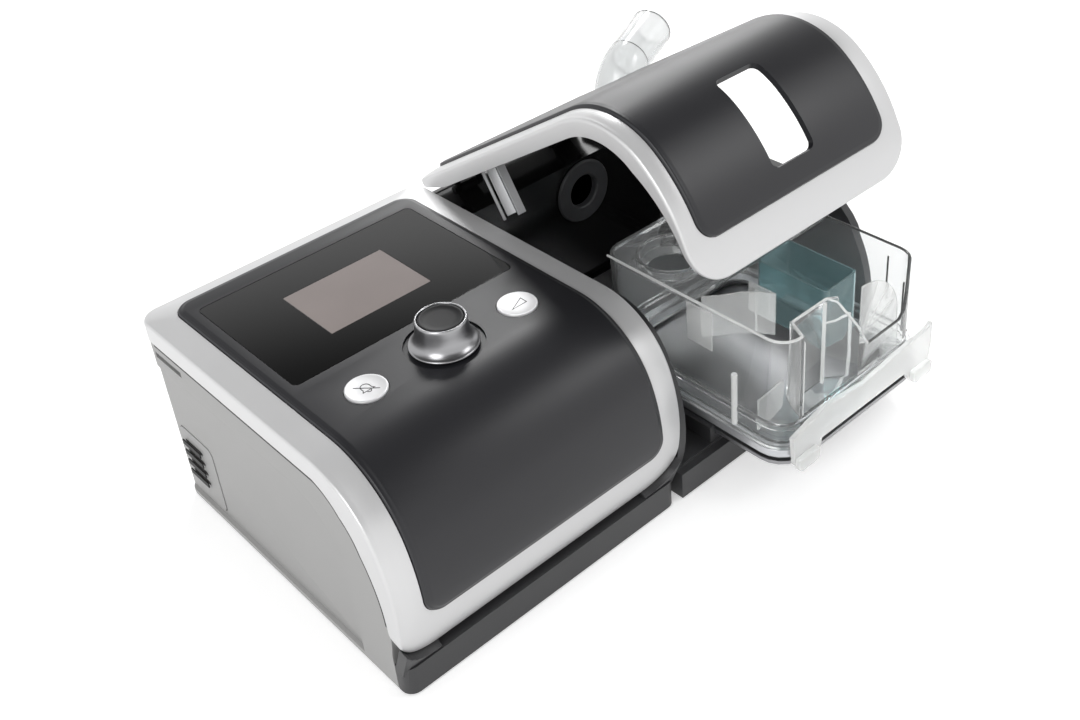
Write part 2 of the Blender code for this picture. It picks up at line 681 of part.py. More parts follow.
def profile_point(arc):
    """Point of the side profile and its outward direction at an arc length from the back."""
    centre = Vector((FIRST_BEND_Y, UNIT_HEIGHT - FIRST_BEND_RADIUS))
    if arc <= FLAT_LENGTH:
        return Vector((UNIT_DEPTH - arc, UNIT_HEIGHT)), Vector((0, 1))
    if arc <= FLAT_LENGTH + FIRST_BEND_LENGTH:
        angle = (arc - FLAT_LENGTH) / FIRST_BEND_RADIUS
        outward = Vector((-math.sin(angle), math.cos(angle)))
        return centre + FIRST_BEND_RADIUS * outward, outward
    turn = Vector((-math.sin(FIRST_BEND_ANGLE), math.cos(FIRST_BEND_ANGLE)))
    centre = centre - (SECOND_BEND_RADIUS - FIRST_BEND_RADIUS) * turn
    angle = FIRST_BEND_ANGLE + (arc - FLAT_LENGTH - FIRST_BEND_LENGTH) / SECOND_BEND_RADIUS
    outward = Vector((-math.sin(angle), math.cos(angle)))
    return centre + SECOND_BEND_RADIUS * outward, outward


def bent(x, arc, drop):
    """Point that lies a drop below the profile surface."""
    point, outward = profile_point(arc)
    place = point - drop * outward
    return (x, place.x, place.y)


def bend_columns(low, high, count):
    """Arc lengths at which the bends are divided between two limits."""
    if low < FLAT_LENGTH:
        return [FLAT_LENGTH + (high - FLAT_LENGTH) * step / count for step in range(count)]
    return [low + (high - low) * step / count for step in range(1, count)]


def flat_outline(left, right, back, front, back_radius, front_radius, columns):
    """Rounded outline on the unrolled profile, the left side first and the right side after."""
    side = []
    for step in range(CORNER_STEPS + 1):
        turn = math.pi / 2 * step / CORNER_STEPS
        side.append((back_radius * (1 - math.sin(turn)), back + back_radius * (1 - math.cos(turn))))
    side += [(0, arc) for arc in columns]
    for step in range(CORNER_STEPS + 1):
        turn = math.pi / 2 * step / CORNER_STEPS
        side.append((front_radius * (1 - math.cos(turn)),
                     front - front_radius * (1 - math.sin(turn))))
    return [(left + x, arc) for x, arc in side] + [(right - x, arc) for x, arc in reversed(side)]


def bent_loops(rows, count):
    """Loops on the bent surface from rows of limits, radii and drops."""
    loops = []
    for left, right, back, front, back_radius, front_radius, drop in rows:
        columns = bend_columns(back + back_radius, front - front_radius, count)
        outline = flat_outline(left, right, back, front, back_radius, front_radius, columns)
        loops.append([bent(x, arc, drop(arc) if callable(drop) else drop) for x, arc in outline])
    return loops


def inset_row(limits, inset, drop):
    """One row of limits moved inward."""
    left, right, back, front, back_radius, front_radius = limits
    return (left + inset, right - inset, back + inset, front - inset,
            max(back_radius - inset, SHARP_RADIUS), max(front_radius - inset, SHARP_RADIUS), drop)


def between(value, low, high, first, last):
    """Value carried over in proportion from one range to another, held at its ends."""
    share = min(max((value - low) / (high - low), 0), 1)
    return first + (last - first) * share


def bezel_depth(arc):
    """Depth of the side band of the main bezel."""
    middle = FLAT_LENGTH + FIRST_BEND_LENGTH / 2
    end = FLAT_LENGTH + FIRST_BEND_LENGTH
    if arc < middle:
        return between(arc, FLAT_LENGTH, middle, BEZEL_SIDE_DEPTH, BEZEL_BEND_DEPTH)
    return between(arc, end, PROFILE_LENGTH, BEZEL_BEND_DEPTH, BEZEL_TIP_DEPTH)


def lid_depth(arc):
    """Depth of the side band of the lid."""
    if arc < FLAT_LENGTH:
        return between(arc, LID_BACK_REACH, LID_BACK_REACH + LID_BACK_BLEND,
                       LID_BACK_DEPTH, LID_SIDE_DEPTH)
    end = FLAT_LENGTH + FIRST_BEND_LENGTH
    return between(arc, end, PROFILE_LENGTH, LID_SIDE_DEPTH, LID_TIP_DEPTH)


def rim(name, limits, opening, depth, crease, opening_drop, skin, paint, pivot):
    """Ring that follows the profile: side band, rounded crease, sloping face and opening."""
    crease_drop, crease_inset, rounding = crease

    def fold(arc):
        return min(crease_drop, depth(arc) * CREASE_DEPTH_SHARE)

    def soft(arc):
        return min(rounding, depth(arc) * ROUNDING_DEPTH_SHARE)

    def underneath(arc):
        return min(fold(arc) + skin, depth(arc) * UNDERNEATH_DEPTH_SHARE)

    rows = [inset_row(limits, 0, depth),
            inset_row(limits, 0, lambda arc: fold(arc) + soft(arc)),
            inset_row(limits, crease_inset / 4, lambda arc: fold(arc) + soft(arc) / 4),
            inset_row(limits, crease_inset, lambda arc: fold(arc) - soft(arc) / 2),
            (*opening, opening_drop),
            (*opening, opening_drop + skin),
            inset_row(limits, crease_inset + skin, underneath),
            inset_row(limits, skin, lambda arc: (underneath(arc) + depth(arc)) / 2),
            inset_row(limits, skin, depth)]
    return join_loops(name, bent_loops(rows, BEND_COLUMNS), paint, pivot, "ring")


def cushion(name, limits, underside, edge_drop, shoulder_rise, top_rise, paint, pivot):
    """Panel that fills an opening and rises to a soft-edged top."""
    rows = [inset_row(limits, 0, underside),
            inset_row(limits, 0, edge_drop),
            inset_row(limits, PANEL_SHOULDER_INSET / 3, (edge_drop - shoulder_rise) / 2),
            inset_row(limits, PANEL_SHOULDER_INSET, -shoulder_rise),
            inset_row(limits, PANEL_TOP_INSET, -top_rise)]
    return join_loops(name, bent_loops(rows, BEND_COLUMNS), paint, pivot, "strips")


def round_back(shape, radius):
    """Round the two upright edges at the back of a housing."""
    work = bmesh.new()
    work.from_mesh(shape.data)
    uprights = [edge for edge in work.edges
                if all(abs(vertex.co.y - UNIT_DEPTH) < WELD_DISTANCE for vertex in edge.verts)
                and abs(edge.verts[0].co.z - edge.verts[1].co.z) > radius]
    bmesh.ops.bevel(work, geom=uprights, offset=radius, segments=CORNER_STEPS, profile=0.5,
                    affect='EDGES')
    work.to_mesh(shape.data)
    work.free()


def seam_line(depth, extra):
    """Side view line that a band of the given depth leaves, from the back to the front tip."""
    arcs = [0, FLAT_LENGTH / 2] + bend_columns(0, PROFILE_LENGTH, BEND_COLUMNS) + [PROFILE_LENGTH]
    return [bent(0, arc, depth(arc) + extra)[1:] for arc in arcs]


def build_bezel():
    limits = (0, MAIN_WIDTH, 0, PROFILE_LENGTH, BEZEL_BACK_RADIUS, BEZEL_FRONT_RADIUS)
    opening = (OPENING_LEFT_INSET, MAIN_WIDTH - OPENING_RIGHT_INSET, OPENING_BACK_INSET,
               PROFILE_LENGTH - OPENING_FRONT_INSET, OPENING_RADIUS, OPENING_RADIUS)
    crease = (BEZEL_CREASE_DROP, BEZEL_CREASE_INSET, BEZEL_CREASE_ROUNDING)
    rim("top_bezel", limits, opening, bezel_depth, crease, BEZEL_OPENING_DROP, BEZEL_SKIN,
        SILVER, "frame")


def build_panel():
    edge = PANEL_EDGE_GAP
    limits = (OPENING_LEFT_INSET + edge, MAIN_WIDTH - OPENING_RIGHT_INSET - edge,
              OPENING_BACK_INSET + edge, PROFILE_LENGTH - OPENING_FRONT_INSET - edge,
              OPENING_RADIUS - edge, OPENING_RADIUS - edge)
    panel = cushion("control_panel", limits, PANEL_UNDERSIDE_DROP, PANEL_EDGE_DROP,
                    PANEL_SHOULDER_RISE, PANEL_TOP_RISE, CHARCOAL, "frame")
    above = UNIT_HEIGHT + OVERRUN
    below = UNIT_HEIGHT - OVERRUN
    cut(panel,
        slab("glass_pocket", (GLASS_LEFT - GAP, GLASS_FRONT - GAP, GLASS_POCKET_Z),
             (GLASS_RIGHT + GAP, GLASS_BACK + GAP, above), GLASS_RADIUS + GAP),
        slab("screen_opening", (SCREEN_LEFT, SCREEN_FRONT, below),
             (SCREEN_RIGHT, SCREEN_BACK, above), SCREEN_RADIUS),
        rod("knob_pocket", (KNOB_X, KNOB_Y, PANEL_TOP_Z - KNOB_POCKET_DEPTH), "z",
            KNOB_POCKET_RADIUS, 0, OVERRUN, ROUND_STEPS),
        rod("shaft_hole", (KNOB_X, KNOB_Y, 0), "z", KNOB_SHAFT_HOLE_RADIUS, below, above,
            COARSE_STEPS))
    for x, y in ((MUTE_X, MUTE_Y), (RAMP_X, RAMP_Y)):
        cut(panel, rod("button_hole", (x, y, 0), "z", BUTTON_HOLE_RADIUS, below, above, ROUND_STEPS))


def build_display():
    slab("display_window", (GLASS_LEFT, GLASS_FRONT, GLASS_TOP_Z - GLASS_THICKNESS),
         (GLASS_RIGHT, GLASS_BACK, GLASS_TOP_Z), GLASS_RADIUS, GLASS)
    face = plan_outline(SCREEN_LEFT + GAP, SCREEN_RIGHT - GAP, SCREEN_FRONT + GAP,
                        SCREEN_BACK - GAP, SCREEN_RADIUS, SCREEN_RADIUS)
    wide = grow_outline(face, MODULE_BORDER)
    shoulder = PANEL_UNDERSIDE_Z - GAP
    stack("display_module", ((wide, BOARD_TOP_Z + GAP), (wide, shoulder), (face, shoulder),
                             (face, GLASS_POCKET_Z)), SCREEN)


def build_knob():
    base = (KNOB_X, KNOB_Y, BOARD_TOP_Z + GAP)
    top = base[2] + ENCODER_HEIGHT
    encoder = box("encoder_body", (KNOB_X - ENCODER_HALF, KNOB_Y - ENCODER_HALF, base[2]),
                  (KNOB_X + ENCODER_HALF, KNOB_Y + ENCODER_HALF, top), DARK_PLASTIC)
    foot = top - PLUNGER_SINK
    cut(encoder, rod("plunger_bore", (KNOB_X, KNOB_Y, foot - KNOB_PRESS - GAP), "z",
                     PLUNGER_RADIUS + GAP, 0, OVERRUN, COARSE_STEPS))
    rod("encoder_plunger", (KNOB_X, KNOB_Y, foot), "z", PLUNGER_RADIUS, 0, PLUNGER_LENGTH,
        COARSE_STEPS, STEEL, "press")
    pocket = KNOB_BASE_Z + KNOB_HEIGHT - KNOB_CAP_POCKET_DEPTH
    rod("knob_shaft", (KNOB_X, KNOB_Y, 0), "z", KNOB_SHAFT_RADIUS,
        foot + PLUNGER_LENGTH + GAP, pocket - GAP, COARSE_STEPS, STEEL, "knob")
    outer = [(radius * KNOB_RADIUS, KNOB_BASE_Z + height * KNOB_HEIGHT)
             for radius, height in KNOB_OUTER_SHARES]
    inner = [(KNOB_CAP_POCKET_RADIUS, KNOB_BASE_Z + KNOB_HEIGHT),
             (KNOB_CAP_POCKET_RADIUS, pocket), (KNOB_BORE_RADIUS, pocket),
             (KNOB_BORE_RADIUS, KNOB_BASE_Z)]
    turned("knob_skirt", (KNOB_X, KNOB_Y, 0), "z", outer + inner, FINE_STEPS, BRUSHED,
           "knob", "ring")
    cap = pocket + GAP
    turned("knob_cap", (KNOB_X, KNOB_Y, cap), "z",
           ((KNOB_CAP_RADIUS, 0), (KNOB_CAP_RADIUS, KNOB_CAP_THICKNESS - KNOB_CAP_ROUNDING),
            (KNOB_CAP_RADIUS - KNOB_CAP_ROUNDING, KNOB_CAP_THICKNESS)), FINE_STEPS, CAP_BLACK,
           "knob")


def build_buttons():
    for name, x, y in (("mute", MUTE_X, MUTE_Y), ("ramp", RAMP_X, RAMP_Y)):
        base = BOARD_TOP_Z + GAP
        box(name + "_switch", (x - SWITCH_HALF, y - SWITCH_HALF, base),
            (x + SWITCH_HALF, y + SWITCH_HALF, base + SWITCH_HEIGHT), DARK_PLASTIC)
        stem = base + SWITCH_HEIGHT + GAP + BUTTON_TRAVEL
        flange = PANEL_UNDERSIDE_Z - GAP
        top = PANEL_TOP_Z + BUTTON_RISE
        profile = ((BUTTON_STEM_RADIUS, stem), (BUTTON_STEM_RADIUS, flange - BUTTON_FLANGE_THICKNESS),
                   (BUTTON_FLANGE_RADIUS, flange - BUTTON_FLANGE_THICKNESS),
                   (BUTTON_FLANGE_RADIUS, flange), (BUTTON_RADIUS, flange),
                   (BUTTON_RADIUS, top - BUTTON_ROUNDING),
                   (BUTTON_RADIUS - BUTTON_ROUNDING / 3, top - BUTTON_ROUNDING / 3),
                   (BUTTON_RADIUS - BUTTON_ROUNDING, top),
                   (BUTTON_RADIUS / 2, top + BUTTON_CROWN))
        turned(name + "_button", (x, y, 0), "z", profile, ROUND_STEPS, BUTTON_SILVER, name)


def build_casing():
    line = seam_line(bezel_depth, SEAM_GAP)
    front = line[-1][0]
    outline = line + [(front, TABLE_TO_SHELL), (UNIT_DEPTH, TABLE_TO_SHELL)]
    casing = side_extrusion("side_casing", outline, CASING_LEFT, CASING_RIGHT, CASING_GREY)
    round_back(casing, CASING_BACK_RADIUS)
    inner = plan_outline(CASING_LEFT + CASING_SIDE_WALL, CASING_RIGHT - CASING_SIDE_WALL, -OVERRUN,
                         UNIT_DEPTH - CASING_BACK_WALL, CASING_BACK_RADIUS / 3,
                         CASING_BACK_RADIUS / 3)
    recess = [(UNIT_DEPTH + OVERRUN, RECESS_FLOOR_Z), (UNIT_DEPTH + OVERRUN, RECESS_TOP_Z)]
    for reach, rise in zip(RECESS_REACH_SHARES, RECESS_RISE_SHARES):
        recess.append((RECESS_FRONT_Y + RECESS_REACH * reach,
                       RECESS_FLOOR_Z + (RECESS_TOP_Z - RECESS_FLOOR_Z) * rise))
    door_low = (-OVERRUN, FILTER_DOOR_FRONT - GAP, FILTER_DOOR_BOTTOM - GAP)
    slot_half = CARD_WIDTH / 2 + CARD_SLOT_MARGIN
    slot_rise = CARD_THICKNESS / 2 + CARD_SLOT_MARGIN
    cut(casing,
        stack("inside", ((inner, -OVERRUN), (inner, UNIT_HEIGHT + OVERRUN))),
        side_extrusion("side_recess", recess, -OVERRUN, CASING_LEFT + RECESS_DEPTH),
        side_extrusion("filter_opening",
                       plan_outline(door_low[1], FILTER_DOOR_BACK + GAP, door_low[2],
                                    FILTER_DOOR_TOP + GAP, FILTER_DOOR_RADIUS, FILTER_DOOR_RADIUS),
                       -OVERRUN, CASING_LEFT + CASING_SIDE_WALL + OVERRUN / 2),
        box("card_slot", (-OVERRUN, CARD_Y - slot_half, CARD_Z - slot_rise),
            (CASING_LEFT + CASING_SIDE_WALL + OVERRUN / 2, CARD_Y + slot_half, CARD_Z + slot_rise)),
        rod("air_hole", (0, AIR_Y, AIR_Z), "x", AIR_HOLE_RADIUS,
            CASING_RIGHT - CASING_SIDE_WALL - OVERRUN / 2, MAIN_WIDTH + OVERRUN, COARSE_STEPS),
        box("inlet_opening", (INLET_LEFT - GAP, UNIT_DEPTH - OVERRUN / 2, INLET_BOTTOM - GAP),
            (INLET_RIGHT + GAP, UNIT_DEPTH + OVERRUN, INLET_TOP + GAP)))


def build_filter_and_card():
    wall_in = CASING_LEFT + RECESS_DEPTH
    outer = wall_in - FILTER_DOOR_PROUD
    door = side_extrusion("filter_cover",
                          plan_outline(FILTER_DOOR_FRONT, FILTER_DOOR_BACK, FILTER_DOOR_BOTTOM,
                                       FILTER_DOOR_TOP, FILTER_DOOR_RADIUS, FILTER_DOOR_RADIUS),
                          outer, outer + FILTER_DOOR_THICKNESS, CASING_GREY, "filter")
    for row in range(FILTER_SLOT_COUNT):
        low = FILTER_SLOT_FIRST_Z + FILTER_SLOT_PITCH * row
        back = FILTER_DOOR_BACK - FILTER_SLOT_BACK_MARGIN
        half = FILTER_SLOT_HEIGHT / 2
        slot = plan_outline(back - FILTER_SLOT_LENGTH, back, low, low + FILTER_SLOT_HEIGHT, half, half)
        cut(door, side_extrusion("air_slot", slot[::2], -OVERRUN, OVERRUN))
    inside = outer + FILTER_DOOR_THICKNESS + GAP
    low_y = FILTER_DOOR_FRONT + FILTER_MARGIN
    slab("air_filter", (inside, low_y, TRAY_FLOOR_Z + FILTER_MARGIN),
         (inside + FILTER_THICKNESS, FILTER_DOOR_BACK - FILTER_MARGIN,
          FILTER_DOOR_TOP - FILTER_MARGIN), FILTER_MARGIN, FOAM)
    wall = CASING_LEFT + CARD_EDGE_SINK
    half = CARD_WIDTH / 2
    low_z = CARD_Z - CARD_THICKNESS / 2
    card = [(wall, CARD_Y - half), (wall + CARD_LENGTH - BOARD_CORNER, CARD_Y - half),
            (wall + CARD_LENGTH, CARD_Y - half + BOARD_CORNER), (wall + CARD_LENGTH, CARD_Y + half),
            (wall, CARD_Y + half)]
    stack("memory_card", ((card, low_z), (card, low_z + CARD_THICKNESS)), CAP_BLACK, "card")
    start = CASING_LEFT + CASING_SIDE_WALL + GAP
    socket = box("card_socket",
                 (start, CARD_Y - half - SOCKET_SIDE_MARGIN, low_z - SOCKET_TOP_MARGIN),
                 (start + SOCKET_LENGTH, CARD_Y + half + SOCKET_SIDE_MARGIN, BOARD_Z - GAP), STEEL)
    cut(socket, box("card_bay", (-OVERRUN, CARD_Y - half - GAP, low_z - GAP),
                    (wall + CARD_LENGTH + GAP, CARD_Y + half + GAP, low_z + CARD_THICKNESS + GAP)))


def build_tray():
    back = TRAY_FRONT_Y + TRAY_FRONT_THICKNESS
    block = plan_outline(CASING_LEFT, CASING_RIGHT, TRAY_FRONT_Y, back, TRAY_FRONT_RADIUS,
                         SHARP_RADIUS)
    tray = stack("bottom_tray", ((block, TABLE_TO_SHELL), (block, TRAY_FRONT_TOP_Z)), BASE_GREY)
    side_in = CASING_LEFT + CASING_SIDE_WALL + GAP
    add(tray, slab("tray_floor", (side_in, back / 2, TABLE_TO_SHELL),
                   (MAIN_WIDTH - side_in, UNIT_DEPTH - CASING_BACK_WALL - GAP, TRAY_FLOOR_Z),
                   CASING_BACK_RADIUS / 3))
    posts = [(x, y) for x in (POST_LEFT_X, POST_RIGHT_X)
             for y in (BOARD_FRONT + POST_FRONT_INSET, BOARD_BACK - POST_BACK_INSET)]
    for x, y in posts:
        add(tray, rod("post", (x, y, 0), "z", POST_RADIUS, TABLE_TO_SHELL + GAP, BOARD_Z - GAP,
                      COARSE_STEPS // 2))
    radius = BEZEL_FRONT_RADIUS
    centre = PROFILE_LENGTH - radius
    for left in (True, False):
        loops = []
        for drop in (HORN_INNER_DROP, HORN_OUTER_DROP):
            border, curve = [], []
            for step in range(HORN_STEPS + 1):
                x = between(step, 0, HORN_STEPS, CASING_LEFT, radius)
                reach = radius + EDGE_GAP
                arc = centre + math.sqrt(reach ** 2 - (radius - x) ** 2)
                curve.append((x, arc))
                border.append((x, PROFILE_LENGTH + HORN_BELOW))
            ring = curve + border[::-1]
            if not left:
                ring = [(MAIN_WIDTH - x, arc) for x, arc in ring]
            loops.append([bent(x, arc, drop) for x, arc in ring])
        add(tray, join_loops("horn", loops, None, "frame", "strips"))


def build_feet():
    spots = []
    for tag, left, right, front in (("main", CASING_LEFT, CASING_RIGHT, TRAY_FRONT_Y),
                                    ("humidifier", BASE_LEFT, BASE_RIGHT, 0)):
        for side, x in (("left", left + FOOT_INSET), ("right", right - FOOT_INSET)):
            for end, y in (("front", front + FOOT_INSET), ("back", UNIT_DEPTH - FOOT_INSET)):
                spots.append(("_".join((tag, "foot", end, side)), x, y))
    for name, x, y in spots:
        rod(name, (x, y, 0), "z", FOOT_RADIUS, 0, FOOT_HEIGHT, COARSE_STEPS, RUBBER)


def build_board():
    slab("main_board", (BOARD_LEFT, BOARD_FRONT, BOARD_Z), (BOARD_RIGHT, BOARD_BACK, BOARD_TOP_Z),
         BOARD_CORNER, BOARD_GREEN)


def build_blower():
    middle = (BLOWER_X, BLOWER_Y, 0)
    sleeve("blower_mount", middle, "z", MOUNT_RADIUS, MOUNT_BORE, TRAY_FLOOR_Z + GAP,
           BLOWER_FLOOR_Z - GAP, ROUND_STEPS, RUBBER)
    floor_top = BLOWER_FLOOR_Z + BLOWER_WALL
    neck_top = floor_top + GAP
    turned("blower_motor", middle, "z",
           ((MOTOR_RADIUS, TRAY_FLOOR_Z + GAP), (MOTOR_RADIUS, BLOWER_FLOOR_Z - GAP),
            (MOTOR_NECK_RADIUS, BLOWER_FLOOR_Z - GAP), (MOTOR_NECK_RADIUS, neck_top)),
           COARSE_STEPS, STEEL)
    base = rod("blower_base", middle, "z", BLOWER_RADIUS, BLOWER_FLOOR_Z, BLOWER_TOP_Z,
               ROUND_STEPS, DARK_PLASTIC)
    add(base, rod("air_stub", (0, AIR_Y, AIR_Z), "x", AIR_OUTER_RADIUS, BLOWER_X, STUB_END_X,
                  COARSE_STEPS))
    cut(base,
        rod("scroll", middle, "z", BLOWER_RADIUS - BLOWER_WALL, floor_top,
            BLOWER_TOP_Z + OVERRUN, ROUND_STEPS),
        rod("air_bore", (0, AIR_Y, AIR_Z), "x", AIR_BORE_RADIUS, BLOWER_X, STUB_END_X + OVERRUN,
            COARSE_STEPS),
        rod("shaft_hole", middle, "z", BLOWER_SHAFT_HOLE, 0, floor_top + OVERRUN, COARSE_STEPS))
    wheel_floor = neck_top + GAP
    wheel = rod("impeller", middle, "z", IMPELLER_RADIUS, wheel_floor, wheel_floor + IMPELLER_FLOOR,
                ROUND_STEPS, WHITE_PLASTIC, "impeller")
    star = []
    half = IMPELLER_VANE_THICKNESS / 2
    for vane in range(IMPELLER_VANES):
        angle = math.tau * vane / IMPELLER_VANES
        along = Vector((math.cos(angle), math.sin(angle)))
        across = Vector((-along.y, along.x))
        for reach, side in ((IMPELLER_HUB_RADIUS, -half), (IMPELLER_RADIUS, -half),
                            (IMPELLER_RADIUS, half), (IMPELLER_HUB_RADIUS, half)):
            place = Vector(middle[:2]) + along * (reach - abs(side)) + across * side
            star.append((place.x, place.y))
    add(wheel, stack("vanes", ((star, wheel_floor + IMPELLER_FLOOR / 2),
                               (star, wheel_floor + IMPELLER_HEIGHT))))
    cover = BLOWER_TOP_Z + GAP
    flat = cover + BLOWER_COVER_THICKNESS
    collar = BLOWER_EYE_RADIUS + BLOWER_EYE_COLLAR
    turned("blower_cover", middle, "z",
           ((BLOWER_RADIUS, cover), (BLOWER_RADIUS, flat), (collar, flat),
            (collar, flat + BLOWER_EYE_RISE), (BLOWER_EYE_RADIUS, flat + BLOWER_EYE_RISE),
            (BLOWER_EYE_RADIUS, cover)), ROUND_STEPS, DARK_PLASTIC, "frame", "ring")
    sleeve("outlet_coupling", (0, AIR_Y, AIR_Z), "x", AIR_OUTER_RADIUS, AIR_BORE_RADIUS,
           STUB_END_X + GAP, COUPLING_END_X, COARSE_STEPS, RUBBER)
    sleeve("coupling_seal", (0, AIR_Y, AIR_Z), "x", COUPLING_SEAL_RADIUS, AIR_OUTER_RADIUS + GAP,
           CASING_RIGHT + GAP, BASE_LEFT - GAP, COARSE_STEPS, RUBBER)


def build_inlet():
    face = plan_outline(INLET_LEFT, INLET_RIGHT, INLET_BOTTOM, INLET_TOP, INLET_FLANGE, INLET_FLANGE)
    wide = grow_outline(face, INLET_FLANGE)
    outside = UNIT_DEPTH + GAP
    levels = ((face, UNIT_DEPTH - INLET_DEPTH), (face, outside), (wide, outside),
              (wide, outside + INLET_FLANGE_THICKNESS))
    loops = [[(x, y, z) for x, z in outline] for outline, y in levels]
    inlet = join_loops("power_inlet", loops, CAP_BLACK)
    rim_y = outside + INLET_FLANGE_THICKNESS
    floor_y = rim_y - INLET_CAVITY_DEPTH
    cut(inlet, box("cavity", (INLET_LEFT + INLET_WALL, floor_y, INLET_BOTTOM + INLET_WALL),
                   (INLET_RIGHT - INLET_WALL, rim_y + OVERRUN, INLET_TOP - INLET_WALL)))
    centre_x = (INLET_LEFT + INLET_RIGHT) / 2
    centre_z = (INLET_BOTTOM + INLET_TOP) / 2
    for place, lift in ((-1, 0), (0, INLET_PIN_LIFT), (1, 0)):
        x = centre_x + place * INLET_PIN_PITCH - INLET_PIN_WIDTH / 2
        z = centre_z + lift - INLET_PIN_HEIGHT / 2
        add(inlet, box("pin", (x, floor_y - INLET_WALL / 2, z),
                       (x + INLET_PIN_WIDTH, floor_y + INLET_PIN_LENGTH, z + INLET_PIN_HEIGHT)))


def build_humidifier_base():
    drop = LID_SIDE_DEPTH + SEAM_GAP
    line = seam_line(lid_depth, SEAM_GAP)
    line[0] = (UNIT_DEPTH, UNIT_HEIGHT - drop)
    front = line[-1][0]
    outline = line + [(front, BASE_FRONT_TOP_Z), (0, BASE_FRONT_TOP_Z), (0, TABLE_TO_SHELL),
                      (UNIT_DEPTH, TABLE_TO_SHELL)]
    base = side_extrusion("humidifier_base", outline, BASE_LEFT, BASE_RIGHT, BASE_GREY)
    round_back(base, BASE_BACK_RADIUS)
    cut(base,
        box("bay", (BAY_LEFT, -OVERRUN, BAY_FLOOR_Z), (BAY_RIGHT, BAY_BACK_Y, UNIT_HEIGHT + OVERRUN)),
        box("underside", (BASE_LEFT + BASE_SKIRT, BASE_SKIRT, -OVERRUN),
            (BASE_RIGHT - BASE_SKIRT, UNIT_DEPTH - BASE_SKIRT, DECK_BOTTOM_Z)),
        box("back_step", (BASE_LEFT - OVERRUN, BASE_BACK_STEP_Y, BASE_BACK_TOP_Z),
            (BASE_RIGHT + OVERRUN, UNIT_DEPTH + OVERRUN, UNIT_HEIGHT + OVERRUN)),
        rod("air_hole", (0, AIR_Y, AIR_Z), "x", AIR_HOLE_RADIUS, MAIN_WIDTH, BAY_LEFT + OVERRUN / 2,
            COARSE_STEPS))
    flange_left = CHAMBER_LEFT - CHAMBER_FLANGE - EDGE_GAP
    flange_right = CHAMBER_RIGHT + CHAMBER_FLANGE + EDGE_GAP
    low = DECK_BOTTOM_Z + DECK_THICKNESS / 2
    element = (flange_left + ELEMENT_INSET, HEATER_FRONT_Y + ELEMENT_INSET)
    far = (flange_right - ELEMENT_INSET, HEATER_BACK_Y - ELEMENT_INSET)
    cut(base, slab("element_opening", (*element, -OVERRUN), (*far, BAY_FLOOR_Z + OVERRUN),
                   ELEMENT_RADIUS))
    for lip, wide in ((flange_left, 1), (flange_right, -1)):
        outer, inner = lip - wide * RAIL_LIP_WIDTH, lip + wide * RAIL_WIDTH
        add(base,
            box("rail", (min(outer, inner), RAIL_FRONT_Y, low),
                (max(outer, inner), RAIL_BACK_Y, RAIL_TOP_Z)),
            box("rail_lip", (min(outer, lip), RAIL_FRONT_Y, low),
                (max(outer, lip), RAIL_BACK_Y, RAIL_LIP_TOP_Z)))
    edge = RAIL_WIDTH + EDGE_GAP
    slab("heater_plate", (flange_left + edge, HEATER_FRONT_Y, BAY_FLOOR_Z + GAP),
         (flange_right - edge, HEATER_BACK_Y, HEATER_TOP_Z), HEATER_RADIUS, ALUMINIUM)
    slab("heater_element", (element[0] + GAP, element[1] + GAP, BAY_FLOOR_Z - ELEMENT_THICKNESS),
         (far[0] - GAP, far[1] - GAP, BAY_FLOOR_Z), ELEMENT_RADIUS, COPPER)
    skirt = BASE_SKIRT + GAP
    slab("humidifier_floor", (BASE_LEFT + skirt, skirt, TABLE_TO_SHELL),
         (BASE_RIGHT - skirt, UNIT_DEPTH - skirt, TABLE_TO_SHELL + FLOOR_PLATE_THICKNESS),
         BASE_BACK_RADIUS, BASE_GREY)


